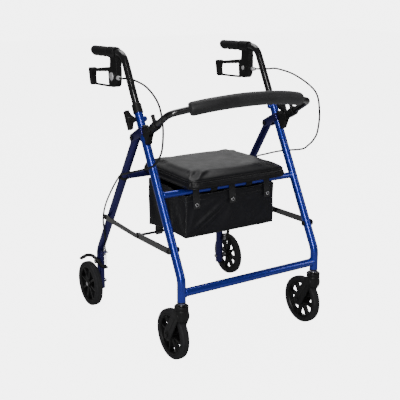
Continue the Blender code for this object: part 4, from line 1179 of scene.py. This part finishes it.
def cushion_form():
    """The unblown cushion: a closed form with round corners, pulled in towards its base and crown."""
    middle_y, half_y = sum(SEAT_Y) / 2, (SEAT_Y[1] - SEAT_Y[0]) / 2
    levels = [
        (500.8, 22), (500.4, 18), (495.6, 15), (494.4, 9), (496.0, 4), (500.0, 1.2), (507.0, 0.4), (514.0, 0.6),
        (519.0, 2.2), (524.0, 6.5), (528.0, 13), (531.0, 24), (532.6, 42), (533.6, 70),
    ]
    rings = []
    for z, inset in levels:
        corner = max(14.0, 33.0 - inset * 0.3)
        outline = rounded_rectangle(SEAT_HALF_W - inset, half_y - inset, corner, 8, 12, middle_y)
        rings.append([Vector((x, y, z)) for x, y in outline])
    return lofted(rings)


def blown(bm, voxel, pressure, cap, hold_below):
    """The form remeshed and blown up as cloth, each point moving at most cap; low points stay put."""
    obj = workpiece("blown", bm)
    remesh = obj.modifiers.new("cells", "REMESH")
    remesh.mode = "VOXEL"
    remesh.voxel_size = voxel
    bm = evaluated(obj)
    bmesh.ops.scale(bm, vec=(MM, MM, MM), verts=bm.verts)
    obj = workpiece("blown", bm)
    rest = [v.co.copy() for v in obj.data.vertices]
    held = obj.vertex_groups.new(name="held")
    held.add([i for i, co in enumerate(rest) if co.z < hold_below * MM], 1.0, "REPLACE")
    cloth = obj.modifiers.new("cloth", "CLOTH")
    cloth.settings.use_pressure = True
    cloth.settings.uniform_pressure_force = pressure
    cloth.settings.effector_weights.gravity = 0
    cloth.settings.vertex_group_mass = "held"
    cloth.settings.quality = 5
    cloth.point_cache.frame_start = 1
    cloth.point_cache.frame_end = 20
    scene = bpy.context.scene
    for number in range(1, 21):
        scene.frame_set(number)
    swollen = bmesh.new()
    swollen.from_object(obj, bpy.context.evaluated_depsgraph_get())
    swollen.verts.ensure_lookup_table()
    for vertex, start in zip(swollen.verts, rest):
        move = vertex.co - start
        if move.length > cap * MM:
            vertex.co = start + move.normalized() * cap * MM
    bpy.data.objects.remove(obj, do_unlink=True)
    scene.frame_set(1)
    bmesh.ops.scale(swollen, vec=(1 / MM,) * 3, verts=swollen.verts)
    bmesh.ops.smooth_vert(swollen, verts=swollen.verts, factor=0.5, use_axis_x=True, use_axis_y=True, use_axis_z=True)
    return swollen


def seat_cushion():
    """A blown vinyl cushion with gathered corners, a welt round its side and stitches below the welt."""
    form = cushion_form()
    form = blown(form, 5.0, 4.0, 4.5, 503.0)
    middle_y = sum(SEAT_Y) / 2
    corner_centres = [(sx * (SEAT_HALF_W - 33), middle_y + sy * (152.5 - 33)) for sx in (-1, 1) for sy in (-1, 1)]
    bmesh.ops.subdivide_edges(form, edges=form.edges[:], cuts=1, use_grid_fill=True, smooth=0.8)
    for vertex in form.verts:
        co = vertex.co
        co.z = min(co.z, SEAT_Z[1] - 0.2)
        side = max(0.0, 1 - abs(co.z - 507) / 11)
        for cx, cy in corner_centres:
            away = Vector((co.x - cx, co.y - cy))
            outward = (co.x - cx) * cx > 0 and (co.y - cy) * (cy - middle_y) > 0
            if outward and away.length > 22:
                angle = math.atan2(away.y, away.x)
                gather = (0.5 + 0.5 * math.sin(angle * 22)) * math.sin(2 * angle) ** 2
                pull = away.normalized() * gather * side * 2.6
                co.x -= pull.x
                co.y -= pull.y
        welt_dip = 1.2 * math.exp(-(((co.z - 516) / 3.0) ** 2))
        out = Vector((co.x / SEAT_HALF_W, (co.y - middle_y) / 152.5, 0))
        if out.length > 0.8:
            co -= out.normalized() * welt_dip
        co.x = max(-SEAT_HALF_W - 1.5, min(SEAT_HALF_W + 1.5, co.x))
        co.y = max(SEAT_Y[0] - 1.5, min(SEAT_Y[1] + 1.5, co.y))
    tree = BVHTree.FromBMesh(form)
    make("seat_cushion_cover", form, "vinyl", "seat", ["seat_cushion"], sharp=180)
    outline = rounded_rectangle(SEAT_HALF_W + 14, 152.5 + 14, 46, 18, 40, middle_y)
    piping = {517.5: [], 496.5: []}
    stitches = []
    for x, y in outline:
        aim = Vector((max(-120.0, min(120.0, x)), max(middle_y - 95, min(middle_y + 95, y)), 0))
        inward = (aim - Vector((x, y, 0))).normalized()
        for height, line, depth in (*((z, line, 0.5) for z, line in piping.items()), (513.6, stitches, 0.25)):
            hit = tree.ray_cast(Vector((x, y, height)), inward, 80)[0]
            if hit:
                line.append(hit - inward * depth)
    cords = [sweep(line, 1.8, 12, Z_AXIS, closed=True) for line in piping.values()]
    make("seat_welts", merged(cords), "vinyl", "seat")
    make("seat_stitches", dashes(stitches, 4.0, 0.42), "thread", "seat")


def dashes(line, pitch, radius):
    """A row of stitches along a closed line."""
    shapes = []
    travelled, start = 0.0, 0.0
    for here, following in zip(line, line[1:] + line[:1]):
        step = (following - here).length
        while travelled + step >= start:
            first = here.lerp(following, (start - travelled) / step)
            heading = (following - here).normalized()
            stitch = [first, first + heading * pitch * 0.62]
            shapes.append(sweep(stitch, radius, 6, Z_AXIS))
            start += pitch
        travelled += step
    return merged(shapes)


def seat_board():
    """The seat's plastic board and its two clips round the front bar."""
    hinge = Vector((0, leg_y(SEAT_BAR_Z), SEAT_BAR_Z))
    y0, y1 = SEAT_Y
    z0 = SEAT_Z[0]
    middle_y, depth = (y0 + y1) / 2, y1 - y0
    shape = rounded_rectangle(168.0, (depth - 21) / 2, 34, 10, 1, middle_y)
    board = lofted([[Vector((x, y, z)) for x, y in shape] for z in (z0 + 0.2, z0 + 5.4)])
    bmesh.ops.bevel(
        board, geom=[e for e in board.edges if abs(e.verts[0].co.z - e.verts[1].co.z) < 0.1], offset=1.4, segments=3,
        profile=0.5, affect="EDGES",
    )
    make("seat_board", board, "plastic", "seat", ["seat_base"])
    for index, s in enumerate((-1, 1)):
        centre = hinge + X_AXIS * s * 64
        ring = rod(centre - X_AXIS * 11, centre + X_AXIS * 11, 13.0, 48, 1.4)
        neck = block((21, 19, 22), centre + Z_AXIS * 14.5, None, 2.0)
        clip = carved(moulded([ring, neck], 0.9, 4, 0.5), [rod(centre - X_AXIS * 14, centre + X_AXIS * 14, BAR_R + 0.3, 40)])
        make(f"seat_clip_{index + 1}", clip, "plastic", "seat")


# ---------------------------------------------------------------- bag


def bag_floor(y):
    return 337.0 if y < 238 else 337.0 - 15.0 * (y - 238) / 100


def bag_shape(x, y, share):
    """A point of the bag's skin: share 0 is the top hem and 1 the floor line."""
    top = BAG_TOP_Z + 9.0 * min(1.0, (y - BAG_Y[0]) / 150)
    z = top + (bag_floor(y) - top) * share
    point = Vector((x, y, z))
    front = max(0.0, 1 - (y - BAG_Y[0]) / 12)
    rear = max(0.0, 1 - (BAG_Y[1] - y) / 12)
    edge = max(0.0, 1 - (BAG_HALF_W - abs(x)) / 12)
    middle_share = math.sin(math.pi * share)
    if front > 0:
        spread = math.cos(math.pi / 2 * x / BAG_HALF_W)
        out = 3.0 * middle_share * spread
        for begin, finish, width, height in (
            ((-14, 443), (-150, 350), 7, 7.0), ((-12, 424), (-128, 344), 5, 5.5), ((-26, 456), (-120, 416), 9, 5.0),
            ((-128, 424), (-152, 346), 6, 4.0), ((8, 420), (-30, 342), 16, 6.5), ((22, 432), (70, 345), 12, 3.5),
            ((126, 443), (24, 441), 5, 5.0), ((112, 457), (40, 455), 5, 3.6), ((120, 430), (34, 352), 12, 4.0),
            ((134, 428), (152, 350), 8, 3.0),
        ):
            out += crease((x, z), begin, finish, width, height)
        for strap in STRAP_X:
            out += 2.2 * math.exp(-(((x - strap) / 10) ** 2)) * math.exp(-(((z - 438) / 16) ** 2))
        sag = sum(math.exp(-(((x - strap) / 26) ** 2)) for strap in STRAP_X)
        point.z += (2.5 - (1 - min(1.0, sag)) * 3.0) * (1 - share) ** 2
        point.y += front * (3.4 - min(out, 12.0) * 0.9)
    if edge > 0:
        depth_share = (y - BAG_Y[0]) / (BAG_Y[1] - BAG_Y[0])
        fold = 9.0 * math.exp(-(((depth_share - 0.5) / 0.13) ** 2)) * (0.35 + 0.65 * middle_share)
        ripple = 1.6 * math.sin(depth_share * 21 + share * 5) * middle_share
        slant = crease((y, z), (122, 452), (206, 345), 9, 3.4) + crease((y, z), (300, 450), (210, 352), 10, 3.0)
        point.x -= math.copysign(edge * max(0.0, fold + ripple + 1.2 - slant * 0.5), x)
    if rear > 0:
        point.y -= rear * (3.0 + 2.4 * math.sin(x * 0.05 + share * 4) * middle_share)
        point.z -= 2.0 * (1 - share) ** 2 * math.cos(math.pi / 2 * x / BAG_HALF_W)
    return point + Vector((0, 0, 0.7 * noise.noise(point * 0.03)))


def storage_bag():
    """A limp nylon bag: one skin from hem to floor, creased from its snaps, with taped edges."""
    middle_y, half_y = sum(BAG_Y) / 2, (BAG_Y[1] - BAG_Y[0]) / 2
    outline = rounded_rectangle(BAG_HALF_W, half_y, 5, 4, 72, middle_y)
    rows = 44
    rings = [[bag_shape(x, y, row / rows) for x, y in outline] for row in range(rows + 1)]
    floor = []
    for inset in (0.985, 0.95, 0.85, 0.7, 0.5, 0.3, 0.12, 0.03):
        ring = []
        for edge in rings[-1]:
            x, y = edge.x * inset, middle_y + (edge.y - middle_y) * inset
            sag = 2.5 * (1 - inset) + 0.8 * noise.noise(Vector((x, y, 0)) * 0.03)
            ring.append(Vector((x, y, bag_floor(y) + 0.8 - sag * 0.4)))
        floor.append(ring)
    skin = lofted((rings + floor)[::-1], cap_top=False)
    bag = make("bag_skin", skin, "nylon", "front_frame", ["storage_bag"], sharp=180)
    thick = bag.modifiers.new("cloth_thickness", "SOLIDIFY")
    thick.thickness = 1.1 * MM
    thick.offset = -1
    pieces = [bag]
    hem = [p + Vector((0, 0, 0.2)) for p in rings[0]]
    hem_band = [Vector((p.x * 1.003, middle_y + (p.y - middle_y) * 1.003, p.z - 8)) for p in rings[3]]
    pieces.append(make("bag_hem", sweep(hem, 1.3, 10, Z_AXIS, closed=True), "webbing", "front_frame"))
    pieces.append(make("bag_hem_stitches", dashes(hem_band, 4.2, 0.35), "thread", "front_frame"))
    corner_lines = []
    for sx, sy in ((-1, -1), (1, -1), (1, 1), (-1, 1)):
        x, y = sx * (BAG_HALF_W - 1.4), middle_y + sy * (half_y - 1.4)
        corner_lines.append(sweep([bag_shape(x, y, row / rows) for row in range(rows + 1)], 1.7, 10))
    corner_lines.append(sweep(rings[-1], 1.6, 10, Z_AXIS, closed=True))
    pieces.append(make("bag_edge_tape", merged(corner_lines), "webbing", "front_frame"))
    bar_y = leg_y(SEAT_BAR_Z)
    straps, snaps, studs = [], [], []
    for x in STRAP_X:
        path = [Vector((x, 102.4, 424)), Vector((x, 102.4, 430)), Vector((x, 103.6, 445)), Vector((x, 106.6, 462))]
        path += [Vector((x, y, z)) for y, z in circle((bar_y, SEAT_BAR_Z), 10.6, 16, math.pi, -math.pi)]
        path += [Vector((x, 124, 464)), Vector((x, 115, 458)), Vector((x, 112.6, 446))]
        straps.append(ribbon(path, 22.0, 1.4))
        face = Vector((x, 101.4, 436))
        ring = rounded([(0, 3.2), (0, 6.4), (1.6, 6.2), (2.4, 4.8), (1.8, 3.2)], 0.5)
        snaps.append(turned(ring, face, -Y_AXIS, 32, closed=True))
        studs.append(turned(rounded([(0, 0), (0, 3.4), (1.0, 2.8), (1.5, 0)], 0.5), face, -Y_AXIS, 24))
    pieces.append(make("bag_straps", merged(straps), "webbing", "front_frame"))
    pieces.append(make("bag_snaps", merged(snaps), "zinc", "front_frame"))
    pieces.append(make("bag_snap_studs", merged(studs), "plastic", "front_frame"))
    loop = [Vector((-150.0, y, z)) for y, z in ((286, 330), (284, 312), (288, 299), (294, 299), (297, 312), (296, 329))]
    pieces.append(make("bag_loop", ribbon(curved(loop, 6), 22.0, 1.2), "webbing", "front_frame"))
    for piece in (*pieces[:4], pieces[-1]):
        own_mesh(piece)


# ---------------------------------------------------------------- the whole walker and its studio


def camera_only(tree, plain, seen):
    """A strength that is `seen` in the camera's direct view and `plain` for light and reflections."""
    path = tree.nodes.new("ShaderNodeLightPath")
    choose = tree.nodes.new("ShaderNodeMapRange")
    tree.links.new(path.outputs["Is Camera Ray"], choose.inputs["Value"])
    choose.inputs["To Min"].default_value = plain
    choose.inputs["To Max"].default_value = seen
    return choose.outputs[0]


def studio():
    """A pale floor and a white backdrop, soft boxes, and the camera at the walker's front left."""
    bm = bmesh.new()
    bmesh.ops.create_grid(bm, x_segments=1, y_segments=1, size=12)
    mesh = bpy.data.meshes.new("floor")
    bm.to_mesh(mesh)
    bm.free()
    floor = bpy.data.objects.new("floor", mesh)
    bpy.context.scene.collection.objects.link(floor)
    pale = bpy.data.materials.new("pale_floor")
    pale.use_nodes = True
    shader = pale.node_tree.nodes["Principled BSDF"]
    shader.inputs["Base Color"].default_value = (0.5, 0.5, 0.5, 1)
    shader.inputs["Roughness"].default_value = 0.8
    shader.inputs["Specular IOR Level"].default_value = 0.1
    shader.inputs["Emission Color"].default_value = (1, 1, 1, 1)
    pale.node_tree.links.new(camera_only(pale.node_tree, 0.0, FLOOR_GLOW), shader.inputs["Emission Strength"])
    mesh.materials.append(pale)
    world = bpy.data.worlds.new("white_room")
    bpy.context.scene.world = world
    world.use_nodes = True
    background = world.node_tree.nodes["Background"]
    background.inputs["Color"].default_value = (1, 1, 1, 1)
    strength = camera_only(world.node_tree, ROOM_LIGHT, BACKDROP_GLOW)
    world.node_tree.links.new(strength, background.inputs["Strength"])
    for name, place, size, power in SOFT_BOXES:
        data = bpy.data.lights.new(name, "AREA")
        data.energy = power
        data.shape = "RECTANGLE"
        data.size, data.size_y = size
        lamp = bpy.data.objects.new(name, data)
        lamp.location = place
        lamp.visible_camera = False
        aim = Vector((0, 0, 0.45)) - Vector(place)
        lamp.rotation_euler = aim.to_track_quat("-Z", "Y").to_euler()
        bpy.context.scene.collection.objects.link(lamp)
    data = bpy.data.cameras.new("camera")
    data.lens = 761.1 / 400 * 36
    data.sensor_width = 36
    camera = bpy.data.objects.new("camera", data)
    camera.location = TO_WORLD @ Vector((-1274.2, -1706.2, 1062.9))
    heading, tilt, roll = math.radians(-32.60), math.radians(15.93), math.radians(0.27)
    upright = Matrix.Rotation(heading, 4, "Z") @ Matrix.Rotation(math.pi / 2 - tilt, 4, "X")
    camera.rotation_euler = (upright @ Matrix.Rotation(roll, 4, "Z")).to_euler()
    bpy.context.scene.collection.objects.link(camera)
    bpy.context.scene.camera = camera


front_frame()
rear_frame()
braces()
backrest()
seat_board()
seat_cushion()
storage_bag()
for side, s in SIDES.items():
    for build in (
        caster, rear_wheel, brake_arm, brake_spring, cable_adjuster, brake_cable, brake_housing, brake_lever,
        lever_bolt, handle, collar, height_knob, receiver, socket, release_pin,
    ):
        build(side, s)
studio()
